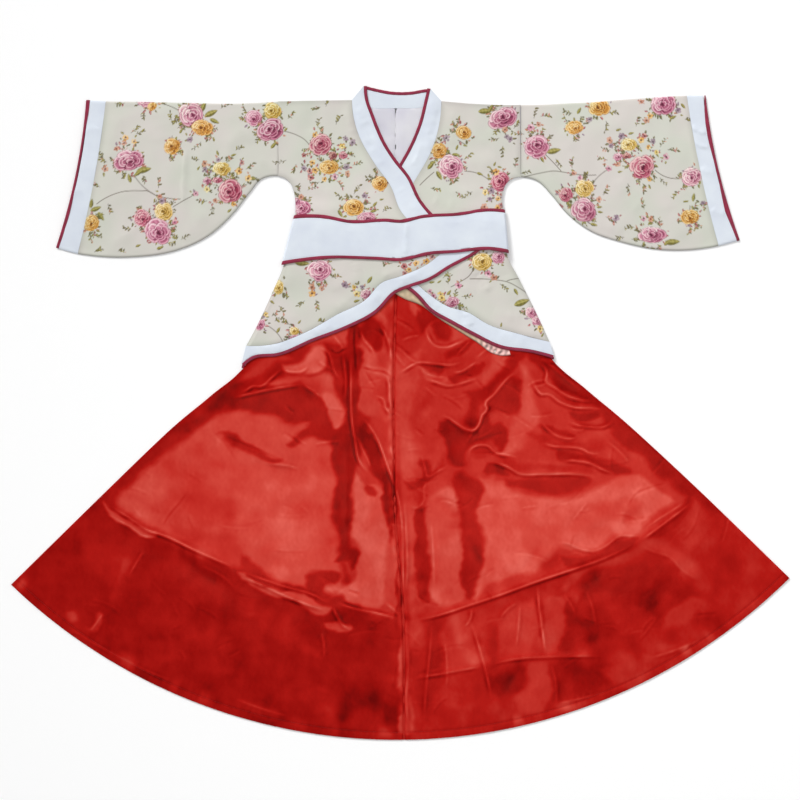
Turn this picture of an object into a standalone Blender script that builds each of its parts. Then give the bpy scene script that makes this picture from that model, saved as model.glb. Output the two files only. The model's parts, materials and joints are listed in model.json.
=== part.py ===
"""A costume hanfu laid flat on its back: a flowered top, a white sash and a long satin skirt.

The garment lies on the floor, which is z = 0. X runs across it, Y runs from the hem of the skirt to the
neck, and left and right are the sides as seen from above. Every piece of cloth is a closed wall. The
pieces of one layer lie edge to edge at their seams, and each layer rises over the layers beneath it.

Lengths in this file are millimetres, turned to metres where a mesh is made.
"""
import bpy
import bmesh
import numpy as np

MM = 0.001

# Cloth, seams and trim
WALL = 1.2              # thickness of a wall of cloth
AIR = 0.45              # air between one layer and the next
SEAM = 0.3              # gap between two pieces sewn edge to edge
PIPING_WIDTH = 6.0
PIPING_HEIGHT = 1.6
SASH_PIPING = 6.5       # width of the piping along the sash
TRIM_LAYER = PIPING_HEIGHT + AIR
PLAIN_LAYER = WALL + AIR
REACH = 28.0            # a lower layer lifts the ones above it at full height this far past its edge
RAMP = 60.0             # and its step fades out over this much more

# Body of the top
ARMHOLE_LEFT, ARMHOLE_RIGHT = -238.4, 235.5
SHOULDER_LEFT = [(ARMHOLE_LEFT, 608.7), (-94.5, 611.2)]
SHOULDER_RIGHT = [(80.4, 609.3), (163.7, 602.7), (ARMHOLE_RIGHT, 601.7)]
UNDERARM_LEFT, UNDERARM_RIGHT = 463.2, 460.9
SIDE_LEFT = [(ARMHOLE_LEFT, UNDERARM_LEFT), (-223.4, 457.4), (-212, 444.9), (-206.5, 426), (-204.6, 385),
             (-224.8, 298), (-229.5, 282), (-247.2, 240.7), (-273.9, 182.4), (-300.6, 131.5)]
SIDE_RIGHT = [(ARMHOLE_RIGHT, UNDERARM_RIGHT), (216, 455.8), (205, 444.9), (200, 428), (200.3, 392),
              (206.2, 316), (211, 300), (228, 268), (260.6, 205.2), (291.2, 139.1)]
CORNER_LEFT, CORNER_RIGHT = (-310.0, 88.5), (300.8, 106.0)
BACK_SEAM_X = -9.5      # centre back seam

# Collar band: the seam to the front and the outer line of the piping, both down to the tip under the sash
SEAM_CORNER_LEFT, TIP_LEFT, HEM_TIP_LEFT = (98.0, 332.0), (160.0, 349.0), (168.0, 337.0)
SEAM_CORNER_RIGHT, TIP_RIGHT, HEM_TIP_RIGHT = (-98.0, 336.0), (-160.0, 353.0), (-168.0, 341.0)
COLLAR_SEAM_LEFT = [(-94.5, 611.2), (-92.1, 581.8), (-82.6, 546.3), (-52, 489.5), (-18.8, 442.4),
                    (2.4, 391), (28, 365), (62, 345), SEAM_CORNER_LEFT]
COLLAR_EDGE_LEFT = [(-65, 638.3), (-62.6, 612.4), (-53.6, 586.5), (-42.4, 556.7), (-30.7, 530.7),
                    (-8.3, 495.2), (16.7, 463.6), (42.6, 412.5), (66.2, 385.4), (112, 362), TIP_LEFT]
COLLAR_SEAM_RIGHT = [(80.4, 609.3), (74.2, 554.3), (59.2, 508.5), (35.6, 465.9), (18, 438), (-10, 408),
                     (-48, 372), SEAM_CORNER_RIGHT]
COLLAR_EDGE_RIGHT = [(53, 634), (48, 612.4), (36, 565.2), (23, 532), (0, 489), (-16, 464),
                     (-42, 430), (-79, 396), (-120, 368), TIP_RIGHT]
NECK_SEAM = [(-94.5, 611.2), (-60, 597), (-10, 595.6), (48, 598), (80.4, 609.3)]
NECK_EDGE = [(-65, 638.3), (-42.4, 632.8), (-18.8, 628.4), (2.4, 627.2), (23.7, 628.4), (42.6, 631.8), (59, 634)]

# Hem bands of the two fronts: the seam to the front and the piped lower edge, from the side to the tip
HEM_SEAM_LEFT = [(-300.6, 131.5), (-252, 133.9), (-186.5, 156.9), (-123.5, 192.2), (-67.8, 221.2),
                 (-36.2, 254), (2.6, 267.2), (55.1, 291.6), SEAM_CORNER_LEFT]
HEM_EDGE_LEFT = [(-309.2, 96), (-289.7, 110.5), (-237.4, 118), (-172.1, 145.4), (-108.9, 169.6),
                 (-50.8, 200), (-11.2, 239), (17.3, 250.9), (55.1, 264), (92.9, 287.4), (147.1, 318), HEM_TIP_LEFT]
HEM_SEAM_RIGHT = [SEAM_CORNER_RIGHT, (-58, 318), (-20, 294), (15, 268), (55.1, 232.5), (92.9, 208),
                  (130.6, 197), (173.3, 172.3), (227.5, 155.7), (291.2, 139.1)]
HEM_EDGE_RIGHT = [HEM_TIP_RIGHT, (-100, 308), (-50, 285), (-8, 264), (33.8, 234.4), (62.1, 204), (102.3, 180.5),
                  (144.8, 157.5), (196.9, 132.8), (255.9, 124), (299, 113)]
FACING_EDGE = [(-24, 243), (7.7, 223), (38.5, 211), (74, 185.2), (111.6, 161.6), (149.5, 138),
               (182.6, 115.5), (200, 112), (215, 113.5)]
BACK_HEM = [CORNER_LEFT, (-160, 62), (0, 54), (150, 68), CORNER_RIGHT]
BACK_BAND = 26.0        # height of the band along the back hem

# Sleeves, laid flat with the fold along the top: x and y of the fold and of the seam below
SLEEVE_LEFT = [(ARMHOLE_LEFT, 608.7, ARMHOLE_LEFT, 463.2), (-263.7, 606.7, -269.6, 457.6),
               (-293, 605.4, -294.9, 429.3), (-328.1, 604.2, -328.1, 387.4), (-371, 604.8, -376.8, 344.5),
               (-429.5, 606.2, -445.1, 315.2), (-488, 607.5, -517.2, 304.9), (-574.8, 608.7, -629.4, 310.9)]
CUFF_LEFT = [(-574.8, 608.7, -629.4, 310.9), (-592, 610, -651, 316.5), (-607.5, 611.3, -667, 321.3)]
CUFF_EDGE_LEFT = [(-607.5, 611.3, -667, 321.3), (-613, 611.6, -672.1, 322.6)]
SLEEVE_RIGHT = [(ARMHOLE_RIGHT, 601.7, ARMHOLE_RIGHT, 460.9), (262.8, 601.9, 266.7, 453.7),
                (292, 602.8, 295.9, 425.4), (323.2, 604.8, 325.2, 390.3), (370, 606.7, 370, 356.2),
                (428.5, 611.6, 432.4, 333.7), (487, 615.9, 506.5, 319.1), (559.2, 620, 621.4, 326.5)]
CUFF_RIGHT = [(559.2, 620, 621.4, 326.5), (576, 620.2, 641, 331.6), (591, 620.4, 657.6, 336.1)]
CUFF_EDGE_RIGHT = [(591, 620.4, 657.6, 336.1), (596, 620.4, 662.8, 337.4)]
CUFF_SEAM_BOW, CUFF_EDGE_BOW = 6.0, 10.0    # how far these lines bow towards the body
SLEEVE_SWELL = 2.6      # rise of the sleeve's upper wall between its folds

# Sash: its upper and lower edges, both piped
SASH_TOP = [(-209.1, 378), (-153.2, 379), (-93.5, 369), (-30.1, 372), (6.7, 370), (39.9, 378.5),
            (122.4, 385), (158, 391.5), (204.8, 390)]
SASH_BOTTOM = [(-230.2, 296), (-196.3, 301), (-152.6, 305.7), (-50.8, 304.4), (9, 302.5), (49.4, 313),
               (112.6, 318), (169.4, 323.7), (211.3, 318)]

# Skirt: a row for each arc across it, by its left end, its middle on the centre seam and its right end
SKIRT_ROWS = [
    # left x, left y, middle x, middle y, right x, right y
    (-192, 338, -4, 330, 190, 338),
    (-232, 236, -9, 212, 230, 240),
    (-297, 100, -13, 48, 289, 114),
    (-372, 32, -12, -56, 366, 44),
    (-452, -35, -9, -210, 450, -27),
    (-590, -168, 6, -392, 590, -157),
    (-760, -335, 7.5, -638, 760, -322),
]

# Folds that stand up in the front of the skirt: height, half width, then the points of the ridge
FOLDS = [
    # the crease from packing, on each side of the centre seam
    (3.6, 16, [(-582, -176), (-488, -238), (-363, -290), (-258, -333), (-133, -379), (-8, -404)]),
    (3.6, 16, [(8, -404), (135, -380), (271, -330), (365, -296), (480, -244), (590, -168)]),
    # the pull along the centre seam
    (5.0, 16, [(-16, 80), (-16, 0), (-12, -80), (2, -240), (8, -390)]),
    (4.0, 18, [(8, -410), (10, -500), (8, -630)]),
    # long folds left of the seam
    (7.0, 20, [(-90, 150), (-92, 60), (-100, -30), (-106, -150), (-102, -270), (-92, -340)]),
    (6.0, 18, [(-84, 10), (-64, -60), (-36, -140), (-14, -220)]),
    (4.0, 18, [(-62, 170), (-40, 120), (-30, 60), (-34, 10)]),
    (5.0, 20, [(-300, 56), (-220, 84), (-150, 92), (-118, 70)]),
    (4.0, 20, [(-345, 40), (-250, 44), (-180, 42), (-150, 12), (-138, -40)]),
    (3.5, 18, [(-348, -40), (-285, -76), (-226, -92), (-190, -106)]),
    # folds right of the seam
    (4.5, 18, [(-6, 72), (36, 100), (84, 96), (130, 104)]),
    (6.0, 20, [(232, 84), (196, 66), (166, 16), (150, -24), (128, -34), (78, -14)]),
    (4.0, 18, [(78, 84), (116, 66), (150, 76), (170, 104)]),
    (5.0, 20, [(256, 66), (300, 30), (350, 12), (396, 6)]),
    (5.0, 20, [(140, -66), (200, -92), (270, -98), (340, -92), (420, -116)]),
    (4.0, 20, [(110, -100), (126, -180), (134, -260), (140, -340)]),
    # soft folds below the crease
    (3.0, 24, [(40, -512), (130, -502), (220, -486), (340, -476), (430, -470)]),
    (3.0, 20, [(262, -358), (274, -400), (284, -470)]),
    (3.0, 20, [(160, -476), (180, -540), (196, -600)]),
    (3.0, 22, [(-132, -384), (-150, -440), (-140, -500)]),
    (3.0, 26, [(-520, -280), (-430, -330), (-330, -400), (-260, -480)]),
]
SWELL = 1.6             # height of the broad waves between the folds

# Mesh fineness: how many steps each piece has
ARMHOLE_ROWS, SIDE_ROWS = 5, 15
FRONT_COLUMNS, BACK_COLUMNS = 15, 6
SLEEVE_STEPS, SLEEVE_ACROSS = 13, 9
SASH_ACROSS = 22
SKIRT_BACK_COLUMNS, SKIRT_BACK_ROWS = 22, 21
SKIRT_ANGLES = [0, 0.05, 0.1, 0.15, 0.2, 0.25, 0.3, 0.36, 0.43, 0.5, 0.57, 0.64, 0.71, 0.78, 0.85, 0.92, 1]
SKIRT_STEPS = [0, 0.35, 0.7, 1.05, 1.4, 1.7, 2, 2.25, 2.5, 2.75, 3, 3.2, 3.4, 3.6, 3.8, 4, 4.2, 4.4, 4.6, 4.8,
               4.92, 5, 5.08, 5.25, 5.45, 5.65, 5.85, 6]
SIDE_STRIP = 0.019      # share of a front's width in the narrow column beside its side seam

# Colours
FLOWERED = (0.72, 0.68, 0.60)
LINING = (0.66, 0.66, 0.72)
WHITE = (0.72, 0.77, 0.84)
CRIMSON = (0.36, 0.03, 0.06)
SATIN = (0.55, 0.02, 0.02)
COTTON_ROUGH, SATIN_ROUGH = 0.8, 0.35


def clear_scene():
    for thing in list(bpy.data.objects):
        bpy.data.objects.remove(thing, do_unlink=True)


def curve(points):
    """A fine path along a smooth curve through the given points."""
    points = np.asarray(points, float)
    if len(points) == 2:
        return points[0] + np.outer(even(20), points[1] - points[0])
    knots = np.concatenate([[0], np.cumsum(np.linalg.norm(np.diff(points, axis=0), axis=1))])
    slopes = np.gradient(points, knots, axis=0, edge_order=2)
    at = np.linspace(0, knots[-1], 30 * len(points))
    span = np.clip(np.searchsorted(knots, at, side="right") - 1, 0, len(points) - 2)
    width = (knots[span + 1] - knots[span])[:, None]
    t = (at - knots[span])[:, None] / width
    return ((2 * t**3 - 3 * t**2 + 1) * points[span] + (t**3 - 2 * t**2 + t) * width * slopes[span]
            + (3 * t**2 - 2 * t**3) * points[span + 1] + (t**3 - t**2) * width * slopes[span + 1])


def joined(*runs):
    """One path through several smooth runs, with a corner wherever two of them meet."""
    return np.vstack([curve(runs[0])] + [curve(run)[1:] for run in runs[1:]])


def shares_of(path):
    """How far along a path each of its points lies, as a share of its length."""
    length = np.concatenate([[0], np.cumsum(np.linalg.norm(np.diff(path, axis=0), axis=1))])
    return length / length[-1]


def along(path, shares):
    """Points at the given shares of a path's length."""
    place = shares_of(path)
    return np.stack([np.interp(shares, place, path[:, k]) for k in (0, 1)], axis=1)


def even(steps):
    return np.linspace(0, 1, steps + 1)


def beside(path, distance):
    """The path moved sideways: to its left, as it runs, where the distance is positive."""
    ahead = np.gradient(path, axis=0)
    ahead /= np.linalg.norm(ahead, axis=1)[:, None]
    return path + distance * np.stack([-ahead[:, 1], ahead[:, 0]], axis=1)


def smoothstep(share):
    share = np.clip(share, 0, 1)
    return share * share * (3 - 2 * share)


def nearest(points, path):
    """Distance from each point to a path, and the share of the path's steps where it is nearest."""
    start, step = path[:-1], np.diff(path, axis=0)
    offset = points[:, None] - start[None]
    share = np.clip((offset * step).sum(2) / np.maximum((step**2).sum(1), 1e-9), 0, 1)
    away = np.linalg.norm(offset - share[..., None] * step, axis=2)
    best = away.argmin(axis=1)
    rows = np.arange(len(points))
    return away[rows, best], (best + share[rows, best]) / len(step)


def inside(points, outline):
    """Whether each point lies inside a closed outline."""
    x, y = points[:, :1], points[:, 1:]
    start, end = outline, np.roll(outline, -1, axis=0)
    crosses = (start[:, 1] > y) != (end[:, 1] > y)
    rise = np.where(end[:, 1] == start[:, 1], 1, end[:, 1] - start[:, 1])
    at = start[:, 0] + (y - start[:, 1]) * (end[:, 0] - start[:, 0]) / rise
    return (crosses & (x < at)).sum(axis=1) % 2 == 1


def cover(points, outline, reach=REACH, ramp=RAMP):
    """1 on and near the outlined area, falling to 0 away from it."""
    away, _ = nearest(points, np.vstack([outline, outline[:1]]))
    away[inside(points, outline)] = 0
    return 1 - smoothstep((away - reach) / ramp)


def traced(*runs):
    """One outline from runs of points, smooth within each run."""
    return np.vstack([along(curve(run), even(3 * len(run))) for run in runs])


OUTLINES = {
    "sash_back": traced(SASH_TOP, SASH_BOTTOM[::-1]),
    "back": traced(SHOULDER_LEFT, NECK_EDGE, SHOULDER_RIGHT, SIDE_RIGHT, BACK_HEM[::-1], SIDE_LEFT[::-1]),
    "skirt": traced([row[:2] for row in SKIRT_ROWS], [SKIRT_ROWS[-1][:2], (-560, -485), (-300, -594),
                    SKIRT_ROWS[-1][2:4], (310, -590), (565, -478), SKIRT_ROWS[-1][4:]],
                    [row[4:] for row in SKIRT_ROWS[::-1]]),
    "right": traced(SHOULDER_RIGHT, SIDE_RIGHT, HEM_EDGE_RIGHT[::-1], COLLAR_EDGE_RIGHT[::-1]),
    "left": traced(SHOULDER_LEFT, COLLAR_EDGE_LEFT, HEM_EDGE_LEFT[::-1], SIDE_LEFT[::-1]),
}
# The layers from the floor up: each one's outline and the height it gives the layers above
STACK = [("sash_back", TRIM_LAYER), ("back", TRIM_LAYER), ("skirt", PLAIN_LAYER), ("skirt", PLAIN_LAYER),
         ("right", TRIM_LAYER), ("left", TRIM_LAYER)]
BACK, SKIRT_BACK, SKIRT_FRONT, RIGHT, LEFT, SASH = 1, 2, 3, 4, 5, 6


def stacked(points, layer):
    """Height of the underside of a layer, over all that lies beneath it."""
    return sum(height * cover(points, OUTLINES[name]) for name, height in STACK[:layer])


def fold_height(points):
    """Height of the skirt's folds and of the broad waves between them."""
    height = SWELL * (1 + np.sin(points[:, 0] / 61 + points[:, 1] / 150)
                      * np.sin(points[:, 1] / 83 - points[:, 0] / 210)) / 2
    for rise, half_width, ridge in FOLDS:
        away, share = nearest(points, along(curve(ridge), even(16)))
        ends = smoothstep(share / 0.2) * smoothstep((1 - share) / 0.2)
        height = height + rise * ends * np.exp(-(away / half_width)**2)
    return height


def level(points, layer):
    """Height of a layer's underside, with the front of the skirt in its folds."""
    flat = points.reshape(-1, 2)
    height = stacked(flat, layer)
    if layer == SKIRT_FRONT:
        tops = np.maximum(cover(flat, OUTLINES["right"], 32, 40), cover(flat, OUTLINES["left"], 32, 40))
        edge, _ = nearest(flat, OUTLINES["skirt"])
        height = height + fold_height(flat) * (1 - tops) * (0.25 + 0.75 * smoothstep(edge / 60))
    return height.reshape(points.shape[:-1])


def finish(name, vertices, faces, colour, rough):
    """Make a named object from a closed set of faces, with its own material."""
    mesh = bpy.data.meshes.new(name)
    mesh.from_pydata([tuple(v * MM for v in vertex) for vertex in vertices], [], faces)
    work = bmesh.new()
    work.from_mesh(mesh)
    bmesh.ops.recalc_face_normals(work, faces=work.faces)
    work.to_mesh(mesh)
    work.free()
    mesh.shade_smooth()
    mesh.set_sharp_from_angle(angle=0.9)
    material = bpy.data.materials.new(name)
    material.use_nodes = True
    shader = material.node_tree.nodes["Principled BSDF"]
    shader.inputs["Base Color"].default_value = (*colour, 1)
    shader.inputs["Roughness"].default_value = rough
    shader.inputs["Metallic"].default_value = 0
    mesh.materials.append(material)
    thing = bpy.data.objects.new(name, mesh)
    bpy.context.scene.collection.objects.link(thing)
    return thing


def sheet(name, plan, low, colour, rough=COTTON_ROUGH):
    """Close a grid of plan points into a wall of cloth whose underside is at the heights in low."""
    rows, columns = plan.shape[:2]
    under = np.dstack([plan, low]).reshape(-1, 3)
    over = np.dstack([plan, low + WALL]).reshape(-1, 3)
    index = np.arange(rows * columns).reshape(rows, columns)
    above = index + rows * columns
    faces = []
    for i in range(rows - 1):
        for j in range(columns - 1):
            for corner in ((i + 1, j), (i, j + 1)):
                half = [(i, j), corner, (i + 1, j + 1)]
                faces.append([int(above[at]) for at in half])
                faces.append([int(index[at]) for at in half])
    rim = ([(i, 0) for i in range(rows)] + [(rows - 1, j) for j in range(1, columns)]
           + [(i, columns - 1) for i in range(rows - 2, -1, -1)] + [(0, j) for j in range(columns - 2, 0, -1)])
    for here, there in zip(rim, rim[1:] + rim[:1]):
        faces.append([int(index[here]), int(index[there]), int(above[there]), int(above[here])])
    return finish(name, np.vstack([under, over]), faces, colour, rough)


def patch(top, bottom, left, right):
    """Fill four paths with a grid. Top and bottom run left to right, left and right run downwards."""
    u = (shares_of(top) + shares_of(bottom))[None, :, None] / 2
    v = (shares_of(left) + shares_of(right))[:, None, None] / 2
    ruled = (1 - v) * top[None] + v * bottom[None] + (1 - u) * left[:, None] + u * right[:, None]
    corners = (1 - v) * ((1 - u) * top[0] + u * top[-1]) + v * ((1 - u) * bottom[0] + u * bottom[-1])
    return ruled - corners


def strip(name, one, other, layer, colour, across=1):
    """A band of cloth between two paths of equally many points."""
    share = even(across)[None, :, None]
    plan = one[:, None] * (1 - share) + other[:, None] * share
    return sheet(name, plan, level(plan, layer), colour)


def piping(name, path, layer):
    """A low rounded cord along a path, with six sides."""
    section = [(-0.5, 0.45), (-0.33, 0), (0.33, 0), (0.5, 0.45), (0.25, 1), (-0.25, 1)]
    rings = []
    for side, rise in section:
        plan = beside(path, side * PIPING_WIDTH)
        rings.append(np.column_stack([plan, level(plan, layer) + rise * PIPING_HEIGHT]))
    vertices = np.stack(rings, axis=1).reshape(-1, 3)
    sides, count = len(section), len(path)
    faces = [list(range(sides)), list(range((count - 1) * sides, count * sides))]
    for i in range(count - 1):
        for k in range(sides):
            m = (k + 1) % sides
            faces.append([i * sides + k, i * sides + m, (i + 1) * sides + m, (i + 1) * sides + k])
    return finish(name, vertices, faces, CRIMSON, COTTON_ROUGH)


def flat_ring(name, plan, low, colour, thick=WALL, inset=0.9):
    """A flattened tube. Each row of the plan is a station, from one of its two folds to the other. The
    lower run lies on the floor and the upper run's underside at the heights in low."""
    stations = plan.shape[0]
    tips = np.stack([plan[:, 0] - plan[:, -1], plan[:, -1] - plan[:, 0]], axis=1)
    tips /= np.linalg.norm(tips, axis=2)[..., None]
    loops = []
    for wall_inset, run_inset, lift in ((0, inset, 0), (thick, thick + inset / 2, thick)):
        run = plan.copy()
        run[:, 0] -= tips[:, 0] * run_inset
        run[:, -1] -= tips[:, 1] * run_inset
        upper = np.dstack([run, low + thick - lift])
        lower = np.dstack([run, np.full_like(low, lift)])[:, ::-1]
        ends = []
        for k, at in ((0, -1), (1, 0)):
            tip = plan[:, -k] - tips[:, k] * wall_inset
            half = (low[:, -k] + thick) / 2
            ends.append(np.column_stack([tip, half])[:, None])
        loops.append(np.concatenate([upper, ends[1], lower, ends[0]], axis=1))
    outer, inner = loops
    size = outer.shape[1]
    vertices = np.concatenate([outer.reshape(-1, 3), inner.reshape(-1, 3)])
    shift = stations * size
    faces = []
    for k in range(size):
        m = (k + 1) % size
        for i in range(stations - 1):
            a, b = i * size, (i + 1) * size
            faces.append([a + k, a + m, b + m, b + k])
            faces.append([shift + b + k, shift + b + m, shift + a + m, shift + a + k])
        last = (stations - 1) * size
        faces.append([k, m, shift + m, shift + k])
        faces.append([last + m, last + k, shift + last + k, shift + last + m])
    return finish(name, vertices, faces, colour, COTTON_ROUGH)


def arc(left, middle, right, shares):
    """Points on the circle through three points, at shares from -1 at the left to 1 at the right."""
    left, middle, right = (np.asarray(p, float) for p in (left, middle, right))
    normal = np.array([2 * (middle - left), 2 * (right - middle)])
    centre = np.linalg.solve(normal, [middle @ middle - left @ left, right @ right - middle @ middle])
    radius = np.linalg.norm(middle - centre)
    turn = [np.arctan2(p[0] - centre[0], centre[1] - p[1]) for p in (left, middle, right)]
    angle = np.interp(shares, [-1, 0, 1], turn)
    return centre + radius * np.stack([np.sin(angle), -np.cos(angle)], axis=1)


def skirt_plan(shares, steps):
    """Plan of the skirt: a row for each step down the table, a column for each share across."""
    table = np.array(SKIRT_ROWS, float)
    rows = []
    for step in steps:
        low = min(int(step), len(table) - 2)
        before, after = max(low - 1, 0), min(low + 2, len(table) - 1)
        t = step - low
        slope_a = (table[low + 1] - table[before]) / (low + 1 - before)
        slope_b = (table[after] - table[low]) / (after - low)
        row = ((2 * t**3 - 3 * t**2 + 1) * table[low] + (t**3 - 2 * t**2 + t) * slope_a
               + (3 * t**2 - 2 * t**3) * table[low + 1] + (t**3 - t**2) * slope_b)
        rows.append(arc(row[:2], row[2:4], row[4:], shares))
    return np.array(rows)


def make_skirt():
    plan = skirt_plan(np.linspace(-1, 1, SKIRT_BACK_COLUMNS + 1), np.linspace(0, 6, SKIRT_BACK_ROWS + 1))
    sheet("skirt_back", plan, level(plan, SKIRT_BACK), SATIN, SATIN_ROUGH)
    shares = np.array(SKIRT_ANGLES)
    for side, sign in (("left", -1), ("right", 1)):
        plan = skirt_plan(sign * shares, SKIRT_STEPS)
        plan[:, 0, 0] += sign * SEAM / 2
        sheet(f"skirt_front_{side}", plan, level(plan, SKIRT_FRONT), SATIN, SATIN_ROUGH)


def down_side(shoulder_end, side):
    """Rows down the armhole and on down the side seam, with one of them at the underarm."""
    armhole = along(curve([shoulder_end, side[0]]), even(ARMHOLE_ROWS))
    return np.vstack([armhole, along(curve(side), even(SIDE_ROWS))[1:]])


def make_back():
    band_top = [SIDE_LEFT[-1]] + [(x, y + BACK_BAND) for x, y in BACK_HEM[1:-1]] + [SIDE_RIGHT[-1]]
    band_top, neck = curve(band_top), curve(NECK_SEAM)
    half = even(BACK_COLUMNS)
    # the shares of the neck and of the hem that lie left of the centre seam
    at_neck = np.interp(BACK_SEAM_X, neck[:, 0], shares_of(neck))
    at_hem = np.interp(BACK_SEAM_X, band_top[:, 0], shares_of(band_top))
    low_left, low_right = along(band_top, half * at_hem), along(band_top, at_hem + half * (1 - at_hem))
    neck_left, neck_right = along(neck, half * at_neck), along(neck, at_neck + half * (1 - at_neck))
    shoulder = even(BACK_COLUMNS // 2)
    top_left = np.vstack([along(curve(SHOULDER_LEFT), shoulder), neck_left[2::2]])
    top_right = np.vstack([neck_right[:-1:2], along(curve(SHOULDER_RIGHT), shoulder)])
    seam = along(curve([neck_left[-1], low_left[-1]]), even(ARMHOLE_ROWS + SIDE_ROWS))
    left = patch(top_left, low_left, down_side(SHOULDER_LEFT[0], SIDE_LEFT), seam)
    right = patch(top_right, low_right, seam, down_side(SHOULDER_RIGHT[-1], SIDE_RIGHT))
    left[:, -1, 0] -= SEAM / 2
    right[:, 0, 0] += SEAM / 2
    sheet("back_left", left, level(left, BACK), LINING)
    sheet("back_right", right, level(right, BACK), LINING)

    seam_line = np.vstack([low_left, low_right[1:]])
    edge = along(curve(BACK_HEM), shares_of(seam_line))
    strip("hem_band_back", beside(seam_line, -SEAM), beside(edge, PIPING_WIDTH + SEAM), BACK, WHITE)
    piping("hem_piping_back", beside(edge, PIPING_WIDTH / 2), BACK)

    seam_line = np.vstack([neck_left[::2], neck_right[2::2]])
    edge = along(curve(NECK_EDGE), shares_of(seam_line))
    strip("collar_back", beside(seam_line, SEAM), beside(edge, -SEAM - PIPING_WIDTH), BACK, WHITE, 2)
    piping("collar_piping_back", beside(edge, -PIPING_WIDTH / 2), BACK)


def pinch(plan, low, column, layer):
    """Lower the side seam's edge of a front onto the back, where the skirt inside stays clear of it."""
    edge = plan[:, column]
    skirt, _ = nearest(edge, OUTLINES["skirt"])
    share = smoothstep((skirt - 9) / 6) * (edge[:, 1] < 330)
    rest = stacked(edge, SKIRT_BACK)
    low[:, column] += share * (rest - low[:, column])
    return low


def make_front(side, shoulder, outer_side, collar_seam, collar_edge, hem_seam, hem_edge, layer):
    """One crossing front with its collar band, its hem band and their pipings."""
    collar_shares = even(ARMHOLE_ROWS + SIDE_ROWS)
    hem_shares = np.linspace(SIDE_STRIP, 1, FRONT_COLUMNS)
    hem_shares = np.concatenate([[0], hem_shares])
    if side == "right":
        hem_shares = 1 - hem_shares[::-1]
    seam, low_seam = along(curve(collar_seam), collar_shares), along(curve(hem_seam), hem_shares)
    top = along(curve(shoulder), hem_shares)
    if side == "left":
        outward, column = 1, 0
        plan = patch(top, low_seam, down_side(shoulder[0], outer_side), seam)
    else:
        outward, column = -1, -1
        plan = patch(top, low_seam, seam, down_side(shoulder[-1], outer_side))
    sheet(f"front_{side}", plan, pinch(plan, level(plan, layer), column, layer), FLOWERED)

    edge = along(curve(collar_edge), collar_shares)
    band_edge = beside(edge, -outward * (SEAM + PIPING_WIDTH))
    strip(f"collar_{side}", beside(seam, outward * SEAM), band_edge, layer, WHITE, 2)
    piping(f"collar_piping_{side}", beside(edge, -outward * PIPING_WIDTH / 2), layer)

    edge = along(curve(hem_edge), hem_shares)
    strip(f"hem_band_{side}", beside(low_seam, -SEAM), edge, layer, WHITE)
    piping(f"hem_piping_{side}", beside(edge, -SEAM - PIPING_WIDTH / 2), layer)
    return edge


def make_sleeve(side, sleeve, cuff, cuff_edge, sign):
    """A wide sleeve with its cuff band and piping, each a flattened tube."""
    share = even(SLEEVE_ACROSS)
    arch = 4 * share * (1 - share)

    def stations(table, steps, bow_start, bow_end):
        rows = np.array(table, float)
        fold, seam = along(curve(rows[:, :2]), even(steps)), along(curve(rows[:, 2:]), even(steps))
        plan = fold[:, None] * (1 - share[None, :, None]) + seam[:, None] * share[None, :, None]
        bow = np.interp(even(steps), [0, 1], [bow_start, bow_end]) if steps < 4 else \
            np.interp(even(steps), [0, 0.6, 1], [0, 0, bow_end])
        plan[..., 0] -= sign * bow[:, None] * arch[None]
        return plan

    def lifted(plan):
        out = np.clip((np.abs(plan[..., 0]) - abs(ARMHOLE_LEFT)) / 120, 0, 1)
        return TRIM_LAYER + SLEEVE_SWELL * arch[None] * out

    body = stations(sleeve, SLEEVE_STEPS, 0, CUFF_SEAM_BOW)
    body[0, :, 0] += sign * SEAM
    flat_ring(f"sleeve_{side}", body, lifted(body), FLOWERED)
    band = stations(cuff, 2, CUFF_SEAM_BOW, CUFF_EDGE_BOW)
    band[0, :, 0] += sign * SEAM
    flat_ring(f"cuff_{side}", band, lifted(band), WHITE)
    trim = stations(cuff_edge, 1, CUFF_EDGE_BOW, CUFF_EDGE_BOW)
    trim[0, :, 0] += sign * SEAM
    flat_ring(f"cuff_piping_{side}", trim, lifted(trim), CRIMSON, PIPING_HEIGHT)


def make_sash():
    """The sash, and its pipings, as flattened rings round the waist."""
    share = even(SASH_ACROSS)
    top, bottom = along(curve(SASH_TOP), share), along(curve(SASH_BOTTOM), share)

    def band(name, start, end, steps, colour, thick):
        step = np.linspace(start, end, steps + 1)[:, None, None]
        plan = top[None] + (bottom - top)[None] * step
        flat_ring(name, plan, level(plan, SASH), colour, thick)

    height = (top - bottom)[:, 1].mean()
    trim, seam = SASH_PIPING / height, SEAM / height
    band("sash_piping_top", -trim, -seam, 1, CRIMSON, PIPING_HEIGHT)
    band("sash", 0, 1, 3, WHITE, WALL)
    band("sash_piping_bottom", 1 + seam, 1 + trim, 1, CRIMSON, PIPING_HEIGHT)


def make_facing(edge):
    """The turned-up facing that shows below the right hem band."""
    shown = edge[(edge[:, 0] > FACING_EDGE[0][0]) & (edge[:, 0] < FACING_EDGE[-1][0])]
    lower = along(curve(FACING_EDGE), even(len(shown) - 1))
    strip("hem_facing_right", beside(shown, -2 * SEAM - PIPING_WIDTH), lower, RIGHT, FLOWERED)


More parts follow.
